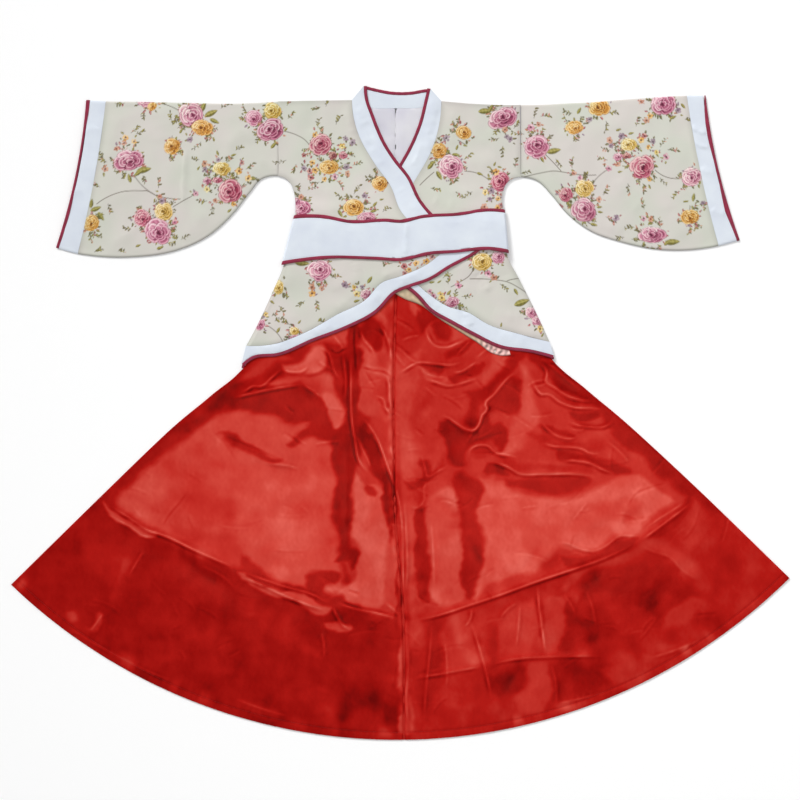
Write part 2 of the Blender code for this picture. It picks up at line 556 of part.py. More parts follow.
clear_scene()
make_skirt()
make_back()
make_front("left", SHOULDER_LEFT, SIDE_LEFT, COLLAR_SEAM_LEFT, COLLAR_EDGE_LEFT, HEM_SEAM_LEFT,
           HEM_EDGE_LEFT, LEFT)
right_edge = make_front("right", SHOULDER_RIGHT, SIDE_RIGHT, COLLAR_SEAM_RIGHT, COLLAR_EDGE_RIGHT,
                        HEM_SEAM_RIGHT, HEM_EDGE_RIGHT, RIGHT)
make_facing(right_edge)
make_sleeve("left", SLEEVE_LEFT, CUFF_LEFT, CUFF_EDGE_LEFT, -1)
make_sleeve("right", SLEEVE_RIGHT, CUFF_RIGHT, CUFF_EDGE_RIGHT, 1)
make_sash()
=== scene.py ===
# %% [markdown]
# # A costume hanfu, laid flat on its back
#
# The garment is a cross-over top of flowered cotton with white bands and crimson piping, a white sash
# round the waist, and a long skirt of red satin tucked up under the top. It lies on a pale floor and the
# camera looks straight down, as someone does who photographs clothes for a shop.
#
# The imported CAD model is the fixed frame. Each piece of cloth here is a thin closed shell on the form of
# its CAD solid, with creases, print and sewing that the plain solid lacks, and it stands for that solid.

# %% Load the frame
import json
import bpy
import bmesh
import numpy as np
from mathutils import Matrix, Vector

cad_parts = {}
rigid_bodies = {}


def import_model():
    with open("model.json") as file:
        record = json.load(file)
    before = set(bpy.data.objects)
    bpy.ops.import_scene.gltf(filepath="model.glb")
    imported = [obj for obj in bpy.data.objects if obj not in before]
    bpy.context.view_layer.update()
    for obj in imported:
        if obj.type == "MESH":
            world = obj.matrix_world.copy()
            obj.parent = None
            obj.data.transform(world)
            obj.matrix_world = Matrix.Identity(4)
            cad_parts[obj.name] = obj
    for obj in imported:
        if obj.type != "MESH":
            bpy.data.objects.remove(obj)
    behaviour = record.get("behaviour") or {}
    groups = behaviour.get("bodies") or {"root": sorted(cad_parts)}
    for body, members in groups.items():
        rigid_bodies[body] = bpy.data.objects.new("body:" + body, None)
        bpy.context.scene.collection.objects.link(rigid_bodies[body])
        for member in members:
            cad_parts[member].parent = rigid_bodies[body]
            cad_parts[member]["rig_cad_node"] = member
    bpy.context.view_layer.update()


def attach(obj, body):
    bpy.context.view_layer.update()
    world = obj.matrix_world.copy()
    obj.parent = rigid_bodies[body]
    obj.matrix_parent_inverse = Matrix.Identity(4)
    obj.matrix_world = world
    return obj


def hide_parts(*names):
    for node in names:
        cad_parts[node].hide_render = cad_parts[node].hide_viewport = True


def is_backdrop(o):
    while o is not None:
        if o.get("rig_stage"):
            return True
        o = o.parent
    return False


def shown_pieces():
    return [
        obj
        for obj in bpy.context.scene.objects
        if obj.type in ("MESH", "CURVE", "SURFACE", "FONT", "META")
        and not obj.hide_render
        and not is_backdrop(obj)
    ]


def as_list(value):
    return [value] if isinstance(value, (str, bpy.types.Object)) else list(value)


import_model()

link_in = bpy.context.scene.collection.objects.link
rng = np.random.default_rng(7)

# %% [markdown]
# Places are worked out in millimetres and turned to metres when a mesh is made. One pixel of the
# photograph is 1.95 mm on the floor, so a flower can be placed where it is seen.
#
# A camera 2.17 m up with a 50 mm lens takes in 1.56 m, which is the width of the photograph.

# %% Sizes and the camera
MM = 0.001
PIXEL = 1.95
MIDDLE = np.array([400.25, 413.15])


def at(pixels):
    """Places on the garment, in mm, of pixels of the photograph."""
    return (np.asarray(pixels, float) - MIDDLE) * (PIXEL, -PIXEL)


lens = bpy.data.cameras.new("camera")
lens.lens, lens.sensor_width = 50, 36
camera = bpy.data.objects.new("camera", lens)
camera.location = (-0.0005, 0.0256, 2.172)
link_in(camera)
bpy.context.scene.camera = camera
bpy.context.scene.view_settings.view_transform = "Standard"

# %% [markdown]
# ## Lines of the pattern
#
# The outline of each piece is a smooth curve through a few measured points. A dressmaker's pattern is
# drawn in the same way, with a curved ruler laid through marks.

# %% Curves
def smooth(share):
    share = np.clip(share, 0, 1)
    return share * share * (3 - 2 * share)


def even(steps):
    return np.linspace(0, 1, steps + 1)


def shares_of(path):
    """How far along a path each of its points lies, as a share of its length."""
    length = np.concatenate([[0], np.cumsum(np.linalg.norm(np.diff(path, axis=0), axis=1))])
    return length / length[-1]


def along(path, shares):
    """Points at the given shares of a path's length."""
    place = shares_of(path)
    return np.stack([np.interp(shares, place, path[:, k]) for k in range(path.shape[1])], axis=1)


def hermite(t, start, end, slope_start, slope_end, width=1.0):
    """The smooth step from start to end that has the given slopes there."""
    return ((2 * t**3 - 3 * t**2 + 1) * start + (t**3 - 2 * t**2 + t) * width * slope_start
            + (3 * t**2 - 2 * t**3) * end + (t**3 - t**2) * width * slope_end)


def curve(points):
    """A fine path along a smooth curve through the given points."""
    points = np.asarray(points, float)
    if len(points) == 2:
        return points[0] + np.outer(even(20), points[1] - points[0])
    knots = np.concatenate([[0], np.cumsum(np.linalg.norm(np.diff(points, axis=0), axis=1))])
    slopes = np.gradient(points, knots, axis=0, edge_order=2)
    place = np.linspace(0, knots[-1], 30 * len(points))
    span = np.clip(np.searchsorted(knots, place, side="right") - 1, 0, len(points) - 2)
    width = (knots[span + 1] - knots[span])[:, None]
    t = (place - knots[span])[:, None] / width
    return hermite(t, points[span], points[span + 1], slopes[span], slopes[span + 1], width)


def beside(path, distance):
    """The path moved sideways: to its left, as it runs, where the distance is positive."""
    ahead = np.gradient(path, axis=0)
    ahead /= np.linalg.norm(ahead, axis=1)[:, None]
    return path + np.reshape(distance, (-1, 1)) * np.stack([-ahead[:, 1], ahead[:, 0]], axis=1)


def nearest(points, path):
    """Distance from points to a path, the share of its steps where each is nearest, and the side."""
    best = np.full(len(points), np.inf)
    share, side = np.zeros(len(points)), np.ones(len(points))
    for k, (start, step) in enumerate(zip(path[:-1], np.diff(path, axis=0))):
        away = points - start
        t = np.clip(away @ step / max(step @ step, 1e-9), 0, 1)
        gap = ((away - t[:, None] * step)**2).sum(axis=1)
        near = gap < best
        best[near], share[near] = gap[near], k + t[near]
        side[near] = np.sign(step[0] * away[near, 1] - step[1] * away[near, 0])
    return np.sqrt(best), share / (len(path) - 1), side


def inside(points, outline):
    odd = np.zeros(len(points), bool)
    for (x1, y1), (x2, y2) in zip(outline, np.roll(outline, -1, axis=0)):
        crosses = (y1 > points[:, 1]) != (y2 > points[:, 1])
        if crosses.any():
            odd[crosses] ^= points[crosses, 0] < x1 + (points[crosses, 1] - y1) * (x2 - x1) / (y2 - y1)
    return odd


def closed(outline):
    return np.vstack([outline, outline[:1]])


# %% [markdown]
# The charts below, of creases and flowers, are written as rows of plain text, because that is how they
# were noted down. A row is a few numbers and words, then a colon and the points of its line.

# %% Reading a chart
def spots(text):
    """Places written as x,y."""
    return [tuple(float(value) for value in pair.split(",")) for pair in text.split()]


def entries(text):
    """The rows of a chart, each closed by a semicolon."""
    rows = []
    for row in text.split(";")[:-1]:
        head, _, line = row.partition(":")
        values = [word if word.replace("_", "").isalpha() else float(word) for word in head.split()]
        rows.append((*values, spots(line)) if line else tuple(values))
    return rows


# %% [markdown]
# These are the pattern's own points, in millimetres from the middle of the garment. X runs to the right
# and Y up to the neck, and left and right are the sides as seen in the photograph.

# %% Pattern points
# name: x,y of the points that the line runs through, in mm
LINES = dict(entries("""
shoulder_left: -238.4,608.7 -94.5,611.2;
shoulder_right: 80.4,609.3 163.7,602.7 235.5,601.7;
side_left: -238.4,463.2 -223.4,457.4 -212,444.9 -206.5,426 -204.6,385 -224.8,298 -229.5,282 -247.2,240.7
  -273.9,182.4 -300.6,131.5;
side_right: 235.5,460.9 216,455.8 205,444.9 200,428 200.3,392 206.2,316 211,300 228,268 260.6,205.2
  291.2,139.1;
collar_seam_left: -94.5,611.2 -92.1,581.8 -82.6,546.3 -52,489.5 -18.8,442.4 2.4,391 28,365 62,345 98,332;
collar_edge_left: -65,638.3 -62.6,612.4 -53.6,586.5 -42.4,556.7 -30.7,530.7 -8.3,495.2 16.7,463.6 42.6,412.5
  66.2,385.4 112,362 160,349;
collar_seam_right: 80.4,609.3 74.2,554.3 59.2,508.5 35.6,465.9 18,438 -10,408 -48,372 -98,336;
collar_edge_right: 53,634 48,612.4 36,565.2 23,532 0,489 -16,464 -42,430 -79,396 -120,368 -160,353;
neck_seam: -94.5,611.2 -60,597 -10,595.6 48,598 80.4,609.3;
neck_edge: -65,638.3 -42.4,632.8 -18.8,628.4 2.4,627.2 23.7,628.4 42.6,631.8 59,634;
hem_seam_left: -300.6,131.5 -252,133.9 -186.5,156.9 -123.5,192.2 -67.8,221.2 -36.2,254 2.6,267.2 55.1,291.6
  98,332;
hem_edge_left: -309.2,96 -289.7,110.5 -237.4,118 -172.1,145.4 -108.9,169.6 -50.8,200 -11.2,239 17.3,250.9
  55.1,264 92.9,287.4 147.1,318 168,337;
hem_seam_right: -98,336 -58,318 -20,294 15,268 55.1,232.5 92.9,208 130.6,197 173.3,172.3 227.5,155.7
  291.2,139.1;
hem_edge_right: -168,341 -100,308 -50,285 -8,264 33.8,234.4 62.1,204 102.3,180.5 144.8,157.5 196.9,132.8
  255.9,124 299,113;
facing_edge: -24,243 7.7,223 38.5,211 74,185.2 111.6,161.6 149.5,138 182.6,115.5 200,112 215,113.5;
back_hem: -310,88.5 -160,62 0,54 150,68 300.8,106;
sash_top: -209.1,378 -153.2,379 -93.5,369 -30.1,372 6.7,370 39.9,378.5 122.4,385 158,391.5 204.8,390;
sash_bottom: -230.2,296 -196.3,301 -152.6,305.7 -50.8,304.4 9,302.5 49.4,313 112.6,318 169.4,323.7
  211.3,318;
"""))
LINE = {name: curve(points) for name, points in LINES.items()}
ARMHOLE_LEFT = LINES["side_left"][0][0]
BACK_SEAM_X = -9.5
SKIRT_ROWS = [
    # left x, left y, middle x, middle y, right x, right y: an arc across the skirt
    (-192, 338, -4, 330, 190, 338),
    (-232, 236, -9, 212, 230, 240),
    (-297, 100, -13, 48, 289, 114),
    (-372, 32, -12, -56, 366, 44),
    (-452, -35, -9, -210, 450, -27),
    (-590, -168, 6, -392, 590, -157),
    (-760, -335, 7.5, -638, 760, -322),
]
print("pattern lines:", len(LINE))

# %% [markdown]
# The skirt is cut as part of a circle, so each row across it is an arc through three points, and its
# sides and its centre seam run smoothly down through the rows.

# %% Lines of the skirt
def arc(row, shares):
    """Points on the circle through a row's three points, from share -1 at the left to 1 at the right."""
    left, middle, right = np.asarray(row, float).reshape(3, 2)
    across = np.array([2 * (middle - left), 2 * (right - middle)])
    centre = np.linalg.solve(across, [middle @ middle - left @ left, right @ right - middle @ middle])
    turn = [np.arctan2(p[0] - centre[0], centre[1] - p[1]) for p in (left, middle, right)]
    angle = np.interp(shares, [-1, 0, 1], turn)
    return centre + np.linalg.norm(middle - centre) * np.stack([np.sin(angle), -np.cos(angle)], axis=1)


def skirt_row(step):
    """The three points of a row at a step down the table."""
    table = np.array(SKIRT_ROWS, float)
    low = min(int(step), len(table) - 2)
    before, after, t = max(low - 1, 0), min(low + 2, len(table) - 1), step - low
    slope_a = (table[low + 1] - table[before]) / (low + 1 - before)
    slope_b = (table[after] - table[low]) / (after - low)
    return hermite(t, table[low], table[low + 1], slope_a, slope_b)


def down_skirt(share):
    """The line down the skirt at a share across it."""
    return np.vstack([arc(skirt_row(step), [share]) for step in np.linspace(0, 6, 61)])


SKIRT_SEAM = down_skirt(0)
SKIRT_HEM = arc(SKIRT_ROWS[-1], np.linspace(-1, 1, 121))

# %% [markdown]
# ## How high each layer lies
#
# Six layers lie on each other: the back of the sash, the back of the top, two layers of skirt, then the
# right front, the left front and the sash. A layer rises by the thickness of what it covers, and the
# step is softened over 60 mm, because cloth bridges a step. The heights are worked out once on a coarse
# grid of the floor and read off between its points, which is far quicker than doing it for every vertex.

# %% Height of each layer
WALL, PIPING_WIDTH, PIPING_HEIGHT, SASH_PIPING, SEAM = 1.2, 6.0, 1.6, 6.5, 0.3
TRIM_LAYER, PLAIN_LAYER = 2.05, 1.65
BACK, SKIRT_BACK, SKIRT_FRONT, RIGHT, LEFT, SASH = 1, 2, 3, 4, 5, 6


def lines(*names):
    """One outline from named lines. A line whose name starts with a minus runs backwards."""
    runs = [LINES[name[1:]][::-1] if name[0] == "-" else LINES[name] for name in names]
    return np.vstack([along(curve(run), even(3 * len(run))) for run in runs])


OUTLINES = {
    "sash_back": lines("sash_top", "-sash_bottom"),
    "back": lines("shoulder_left", "neck_edge", "shoulder_right", "side_right", "-back_hem", "-side_left"),
    "skirt": np.vstack([down_skirt(-1), SKIRT_HEM[::4], down_skirt(1)[::-1]]),
    "right": lines("shoulder_right", "side_right", "-hem_edge_right", "-collar_edge_right"),
    "left": lines("shoulder_left", "collar_edge_left", "-hem_edge_left", "-side_left"),
}
STACK = [("sash_back", TRIM_LAYER), ("back", TRIM_LAYER), ("skirt", PLAIN_LAYER), ("skirt", PLAIN_LAYER),
         ("right", TRIM_LAYER), ("left", TRIM_LAYER)]
GRID_STEP = 5.0
GRID_X, GRID_Y = np.arange(-790, 791, GRID_STEP), np.arange(-670, 671, GRID_STEP)
FLOOR_POINTS = np.stack(np.meshgrid(GRID_X, GRID_Y), axis=-1).reshape(-1, 2)
distance = {}
for name, outline in OUTLINES.items():
    away, _, _ = nearest(FLOOR_POINTS, closed(outline))
    distance[name] = np.where(inside(FLOOR_POINTS, outline), -away, away)


def cover(name, reach=28.0, ramp=60.0):
    """1 on and near an outlined area, falling to 0 away from it, at each point of the floor grid."""
    return 1 - smooth((distance[name] - reach) / ramp)


def as_map(values):
    return values.reshape(len(GRID_Y), len(GRID_X))


def read(grid, points):
    """A value read off between the points of the floor grid."""
    flat = np.reshape(points, (-1, 2))
    x = np.clip((flat[:, 0] - GRID_X[0]) / GRID_STEP, 0, len(GRID_X) - 1.001)
    y = np.clip((flat[:, 1] - GRID_Y[0]) / GRID_STEP, 0, len(GRID_Y) - 1.001)
    i, j = y.astype(int), x.astype(int)
    u, v = x - j, y - i
    value = ((1 - v) * ((1 - u) * grid[i, j] + u * grid[i, j + 1])
             + v * ((1 - u) * grid[i + 1, j] + u * grid[i + 1, j + 1]))
    return value.reshape(np.shape(points)[:-1])


LEVELS = [as_map(sum([height * cover(name) for name, height in STACK[:k]], np.zeros(len(FLOOR_POINTS))))
          for k in range(len(STACK) + 1)]
UNDER_TOP = as_map(np.maximum(cover("right", 32, 40), cover("left", 32, 40)))
NEAR_TOP = as_map(np.maximum(cover("right", 4, 26), cover("left", 4, 26)))
TO_EDGE = as_map(-distance["skirt"])
TO_TOP = as_map(np.minimum(distance["left"], distance["right"]))
print("layers:", len(LEVELS), "highest underside:", round(max(level.max() for level in LEVELS), 2), "mm")

# %% [markdown]
# ## Shells of cloth
#
# A finished cloth surface needs a fine upper side, because the print and the creases live there, but its
# underside rests on something and is never seen. So each shell has a fine sheet above, a coarse one
# below, and a rim that joins their two borders into one closed skin. Doubling the fine sheet with a
# Solidify modifier would cost twice the triangles.

# %% Closing a shell
def zip_rings(one, one_share, other, other_share):
    """Triangles between two rings of points, each point with its share of the way round."""
    faces, i, j = [], 0, 0
    n, m = len(one), len(other)
    while i < n or j < m:
        next_one = (one_share[i + 1] if i + 1 < n else 1.0) if i < n else np.inf
        next_other = (other_share[j + 1] if j + 1 < m else 1.0) if j < m else np.inf
        a, b = int(one[i % n]), int(other[j % m])
        if next_one <= next_other:
            faces.append((a, b, int(one[(i + 1) % n])))
            i += 1
        else:
            faces.append((a, b, int(other[(j + 1) % m])))
            j += 1
    return faces


def bridge(upper, lower, places):
    """Triangles between two closed borders of unlike fineness, both running anticlockwise."""
    _, below, _ = nearest(places[lower], closed(places[upper]))
    start = int(np.argmin(below))
    lower, below = np.roll(lower, -start), np.roll(below, -start)
    at_start = (below > 0.99) & (np.arange(len(below)) < 3)     # first points found at the loop's end
    below = np.maximum.accumulate(np.where(at_start, 0, below))
    return zip_rings(upper, np.arange(len(upper)) / len(upper), lower, below)


def grid_quads(rows, columns, first=0):
    index = np.arange(rows * columns).reshape(rows, columns) + first
    return np.stack([index[:-1, :-1], index[1:, :-1], index[1:, 1:], index[:-1, 1:]], axis=-1).reshape(-1, 4)


def border(rows, columns, first=0):
    """The border of a grid, anticlockwise seen from above where its rows run down and columns right."""
    index = np.arange(rows * columns).reshape(rows, columns) + first
    return np.concatenate([index[:-1, 0], index[-1, :-1], index[:0:-1, -1], index[0, :0:-1]])


def as_piece(name, places, faces, material, hard=50):
    """A named object from places in mm and faces, smooth but for edges sharper than the hard angle."""
    mesh = bpy.data.meshes.new(name)
    mesh.from_pydata((np.asarray(places) * MM).tolist(), [], faces)
    mesh.validate()
    mesh.shade_smooth()
    mesh.set_sharp_from_angle(angle=np.radians(hard))
    mesh.materials.append(material)
    thing = bpy.data.objects.new(name, mesh)
    link_in(thing)
    return thing


def shell(name, top, quads, rim, under, under_quads, under_rim, material):
    """A closed shell from an upper sheet and a lower one, each with its border."""
    places = np.vstack([top, under])
    under_rim = under_rim + len(top)
    faces = quads.tolist() + (under_quads + len(top))[:, ::-1].tolist()
    faces += bridge(rim, under_rim, places[:, :2])
    return as_piece(name, places, faces, material)


# %% [markdown]
# Large pieces are filled with small square cells, as graph paper fills a drawn shape, and the border
# points are moved onto the outline. The cells have one size all over, so the print is equally sharp
# everywhere. A grid stretched between four edges would bunch up at the shoulder.

# %% Filling an outline with cells
def filled(outline, step, corners=()):
    """Points, cells and border of an outline filled with square cells."""
    low = outline.min(axis=0) - 1.5 * step
    nx, ny = (np.ceil((outline.max(axis=0) - low) / step).astype(int) + 2)
    x, y = low[0] + step * np.arange(nx + 1), low[1] + step * np.arange(ny + 1)
    middles = np.stack(np.meshgrid(x[:-1] + step / 2, y[:-1] + step / 2), axis=-1).reshape(-1, 2)
    keep = inside(middles, outline).reshape(ny, nx)
    for _ in range(3):                  # no two cells that touch by a corner alone
        a, b, c, d = keep[:-1, :-1], keep[:-1, 1:], keep[1:, :-1], keep[1:, 1:]
        rising, falling = b & c & ~a & ~d, a & d & ~b & ~c
        keep[:-1, :-1] |= rising
        keep[:-1, 1:] |= falling
    corner = np.arange((ny + 1) * (nx + 1)).reshape(ny + 1, nx + 1)
    i, j = np.nonzero(keep)
    quads = np.stack([corner[i, j], corner[i, j + 1], corner[i + 1, j + 1], corner[i + 1, j]], axis=1)
    bare = [~keep[i - 1, j], ~keep[i, j + 1], ~keep[i + 1, j], ~keep[i, j - 1]]
    following = {}
    for k in range(4):
        for a, b in quads[bare[k]][:, [k, (k + 1) % 4]].tolist():
            following[a] = b
    loops, left = [], set(following)
    while left:
        loop, here = [], min(left)
        while here in left:
            left.remove(here)
            loop.append(here)
            here = following[here]
        loops.append(loop)
    if len(loops) > 1:                  # stray cells at a sharp tip
        print("  strays left out:", sorted(len(loop) for loop in loops)[:-1])
    rim = np.array(max(loops, key=len))
    used, quads = np.unique(quads, return_inverse=True)
    quads = quads.reshape(-1, 4)
    where = np.full((ny + 1) * (nx + 1), -1)
    where[used] = np.arange(len(used))
    rim = where[rim]
    points = np.stack([x[used % (nx + 1)], y[used // (nx + 1)]], axis=1)
    path = closed(outline)
    _, share, _ = nearest(points[rim], path)
    spot = share * (len(path) - 1)
    base = np.minimum(spot.astype(int), len(path) - 2)
    points[rim] = path[base] + (spot - base)[:, None] * (path[base + 1] - path[base])
    for tip in corners:
        close_by = rim[np.argmin(np.linalg.norm(points[rim] - tip, axis=1))]
        points[close_by] = tip
    return points, quads, rim


def laid(name, outline, step, coarse, heights, material, corners=(), round_off=0.35):
    """A piece of cloth that fills an outline. heights gives underside and upper side at plan points."""
    top, quads, rim = filled(outline, step, corners)
    under, under_quads, under_rim = filled(outline, coarse, corners)
    _, high = heights(top)
    high[rim] -= round_off
    low, _ = heights(under)
    return shell(name, np.column_stack([top, high]), quads, rim, np.column_stack([under, low]),
                 under_quads, under_rim, material), top


# %% [markdown]
# ## Creases
#
# A crease is a ridge or a trough along a given line. Its two sides fall away at their own rate, so
# that one side can be steep and throw the thin dark line that a fallen fold has. It fades at its ends,
# and its height wavers along it, because real folds are never even.

# %% Heights of creases
def close_to(path, points, margin):
    """Which points lie in the box round a path, widened by a margin."""
    return ((points > path.min(axis=0) - margin) & (points < path.max(axis=0) + margin)).all(axis=1)


def creased(points, table):
    """Height that a table of creases adds: rise, width, lean of the right side, points of the line."""
    height = np.zeros(len(points))
    for k, (rise, width, lean, line) in enumerate(table):
        path = along(curve(line), even(24))
        near = close_to(path, points, 3 * width * max(1, lean))
        if not near.any():
            continue
        away, share, side = nearest(points[near], path)
        width_here = width * np.where(side > 0, 1, lean)
        waver = 1 + 0.22 * np.sin(9 * share + 2.1 * k) + 0.12 * np.sin(23 * share + k)
        ends = smooth(share / 0.22) * smooth((1 - share) / 0.22)
        height[near] += rise * ends * waver * np.exp(-(away / width_here)**2)
    return height


# %% [markdown]
# Cloth that was smoothed by hand is still not flat. A few long seeded waves that cross each other give it
# the soft unevenness that a lamp from the side shows.

# %% Soft unevenness
def rumple(points, height, length, seed):
    """Height of soft waves at plan points. The height and the length of a wave are in mm."""
    dice = np.random.default_rng(seed)
    total = np.zeros(len(points))
    for _ in range(8):
        angle, size = dice.uniform(0, np.pi), length * dice.uniform(0.6, 1.7)
        run = points @ (np.cos(angle), np.sin(angle))
        aside = points @ (-np.sin(angle), np.cos(angle))
        bend = dice.uniform(0.6, 1.6) * np.sin(2.4 * aside / size + dice.uniform(0, 6.28))
        total += np.sin(6.28 * run / size + bend + dice.uniform(0, 6.28))
    return height * total / 2.8


# %% [markdown]
# ## Materials
#
# Each material is named for the real cloth. Colours are the ones read off the photograph, as
# sRGB hex, turned to linear light because that is what the shader mixes.

# %% Colours and node helper
def linear(code):
    """An sRGB hex colour in linear light."""
    parts = [int(code[k:k + 2], 16) / 255 for k in (1, 3, 5)]
    return np.array([p / 12.92 if p <= 0.04045 else ((p + 0.055) / 1.055)**2.4 for p in parts])


def rgba(code):
    return (*linear(code), 1)


def add(tree, kind, values=None, links=None, **settings):
    """A node with its settings, the plain values on its sockets and its links."""
    node = tree.nodes.new(kind if "Node" in kind else "ShaderNode" + kind)
    for key, value in settings.items():
        setattr(node, key, value)
    for key, value in (values or {}).items():
        node.inputs[key].default_value = value
    for key, (other, socket) in (links or {}).items():
        tree.links.new(other.outputs[socket], node.inputs[key])
    return node


def ramp_of(tree, source, stops):
    """A colour ramp. Each stop is a place from 0 to 1 and a linear colour."""
    ramp = add(tree, "ValToRGB", {}, {"Fac": source})
    elements = ramp.color_ramp.elements
    elements[0].position, elements[0].color = stops[0]
    elements[1].position, elements[1].color = stops[-1]
    for place, colour in stops[1:-1]:
        elements.new(place).color = colour
    return ramp


def cloth_material(name, **shader_values):
    """A material with an empty tree but for its shader, and Object coordinates to draw with."""
    material = bpy.data.materials.new(name)
    material.use_nodes = True
    tree = material.node_tree
    shader = tree.nodes["Principled BSDF"]
    for key, value in shader_values.items():
        shader.inputs[key.replace("_", " ")].default_value = value
    return material, tree, shader, (add(tree, "TexCoord"), "Object")


# %% [markdown]
# The top is a light polyester cotton in plain weave, printed with roses. It is matt, with a faint sheen
# where it is ironed flat. Its threads lie about 0.4 mm apart, too fine for this picture, so the weave is
# drawn at 1.6 mm. The print comes as a colour on each point of the mesh, with painted shade beside the
# seams multiplied in.

# %% Flowered cotton and its wrong side
def noise(tree, place, scale, detail, **more):
    """Noise over a socket's coordinates."""
    return add(tree, "TexNoise", {"Scale": scale, "Detail": detail, **more}, {"Vector": place}), "Fac"


def maths(tree, operation, *terms):
    """A sum or a product of terms, each a number or a node's socket."""
    values = {k: term for k, term in enumerate(terms) if not isinstance(term, tuple)}
    links = {k: term for k, term in enumerate(terms) if isinstance(term, tuple)}
    return add(tree, "Math", values, links, operation=operation), "Value"


def bumpy(tree, shader, height, strength, depth):
    bump = add(tree, "Bump", {"Strength": strength, "Distance": depth}, {"Height": height})
    tree.links.new(bump.outputs["Normal"], shader.inputs["Normal"])


def weave(tree, place, shader, spacing, strength, cloud_scale):
    """Bump of crossed threads over soft clouds. The spacing is in metres."""
    waves = [(add(tree, "TexWave", {"Scale": 2 * np.pi / spacing / 20, "Distortion": 0.6, "Detail": 1.0},
                  {"Vector": place}, bands_direction=way), "Fac") for way in "XY"]
    cloud = noise(tree, place, cloud_scale, 3.0, Roughness=0.55)
    both = maths(tree, "ADD", maths(tree, "MULTIPLY", *waves), maths(tree, "MULTIPLY", cloud, 2.0))
    bumpy(tree, shader, both, strength, 0.0004)
    return cloud


def printed_cotton():
    material, tree, shader, place = cloth_material(
        "flowered_cotton", Roughness=0.62, Sheen_Weight=0.12, Sheen_Roughness=0.5)
    shader.inputs["Specular IOR Level"].default_value = 0.35
    weave(tree, place, shader, 0.0016, 0.22, 55)
    # The print attribute also carries painted shade beside the seams.
    ink = add(tree, "Attribute", attribute_name="print")
    ramp = ramp_of(tree, noise(tree, place, 9.0, 2.0), [
        (0.38, (0.93, 0.965, 0.92, 1)), (0.62, (1, 0.955, 0.975, 1))])
    tinted = add(tree, "Mix", {"Factor": 1.0}, {"A": (ink, "Color"), "B": (ramp, "Color")},
                 data_type="RGBA", blend_type="MULTIPLY")
    tree.links.new(tinted.outputs["Result"], shader.inputs["Base Color"])
    return material


def plain_cloth(name, one, other, clouds, spacing, strength, **shader_values):
    """A cloth of one colour that wanders a little between two tones."""
    material, tree, shader, place = cloth_material(name, **shader_values)
    cloud = weave(tree, place, shader, spacing, strength, clouds)
    ramp = ramp_of(tree, cloud, [(0.3, rgba(one)), (0.7, rgba(other))])
    tree.links.new(ramp.outputs["Color"], shader.inputs["Base Color"])
    return material


COTTON = printed_cotton()
WRONG_SIDE = plain_cloth("cotton_wrong_side", "#CFCDD8", "#DCDBE0", 14, 0.0016, 0.22, Roughness=0.7)

# %% [markdown]
# The bands and the sash are white polyester satin with the dull side out: bluish white and smooth, with
# a soft gloss. The piping is a folded strip of crimson cotton over a cord. The skirt is shiny polyester
# satin. Its wide pale patches, where the threads mirror the light, are painted into its colour as
# painted reflections, with painted shade between them. Its gloss from the lamps is tinted red because
# part of the light goes through the thread and back, so its specular tint is a warm red.

# %% White trim, crimson piping and red satin
WHITE = plain_cloth("white_trim", "#D3DAE6", "#DFE6EE", 16, 0.0014, 0.14, Roughness=0.45, Sheen_Weight=0.05)
CRIMSON = plain_cloth("crimson_piping", "#7E1633", "#962042", 60, 0.0012, 0.3, Roughness=0.5)
THREAD = plain_cloth("white_thread", "#D8DEE8", "#E6EBF2", 200, 0.0008, 0.2, Roughness=0.5)
RED_THREAD = plain_cloth("red_thread", "#8E1414", "#A81E1A", 200, 0.0008, 0.2, Roughness=0.5)
# Colours of the satin from painted shade, at 0, to painted sheen, at 1.
SATIN_SHADE_TO_SHEEN = [(0.0, "#640103"), (0.2, "#940807"), (0.4, "#AE1511"), (0.6, "#BE2E26"), (0.78, "#CA453A"),
        (1.0, "#E0675A")]


def red_satin():
    """Red from the painted sheen and shade on the mesh, with clouds and streaks, over a fine relief of
    floating threads.
    """
    material, tree, shader, place = cloth_material("red_satin", Roughness=0.2)
    shader.inputs["Specular IOR Level"].default_value = 0.65
    shader.inputs["Specular Tint"].default_value = (1.0, 0.10, 0.07, 1)
    cloud = noise(tree, place, 14.0, 5.0, Roughness=0.55, Distortion=0.6)
    threads = add(tree, "Mapping", {"Scale": (1.0, 0.12, 1.0)}, {"Vector": place})
    floats = noise(tree, (threads, "Vector"), 420.0, 2.0)
    bumpy(tree, shader, maths(tree, "ADD", cloud, maths(tree, "MULTIPLY", floats, 0.12)), 0.18, 0.002)
    fall = add(tree, "Mapping", {"Scale": (1.0, 0.14, 1.0)}, {"Vector": place})
    streak = noise(tree, (fall, "Vector"), 60.0, 2.0)
    uneven = maths(tree, "ADD", cloud, maths(tree, "MULTIPLY", streak, 0.3))
    # The painted sheen and shade on the mesh decides where the satin is dark or pale.
    painted_sheen_and_shade = add(tree, "Attribute", attribute_name="painted_sheen_and_shade")
    tone = maths(tree, "ADD", (painted_sheen_and_shade, "Fac"), maths(tree, "MULTIPLY_ADD", uneven, 0.26, -0.15))
    ramp = ramp_of(tree, tone, [(at, rgba(code)) for at, code in SATIN_SHADE_TO_SHEEN])
    tree.links.new(ramp.outputs["Color"], shader.inputs["Base Color"])
    return material


SATIN = red_satin()
print("materials:", sorted(m.name for m in bpy.data.materials if m.users or m.use_nodes))

# %% [markdown]
# ## The print
#
# The cotton is printed with old-fashioned cabbage roses, a common furnishing pattern. It is drawn by
# functions: a rose is rings of petals laid from the rim inwards, each pale at its lip and dark where it
# goes under the next. Leaves, twigs and small blossoms fill in. Each flower is placed by a pixel of the
# photograph, and nothing is traced: the shapes come from the functions below.

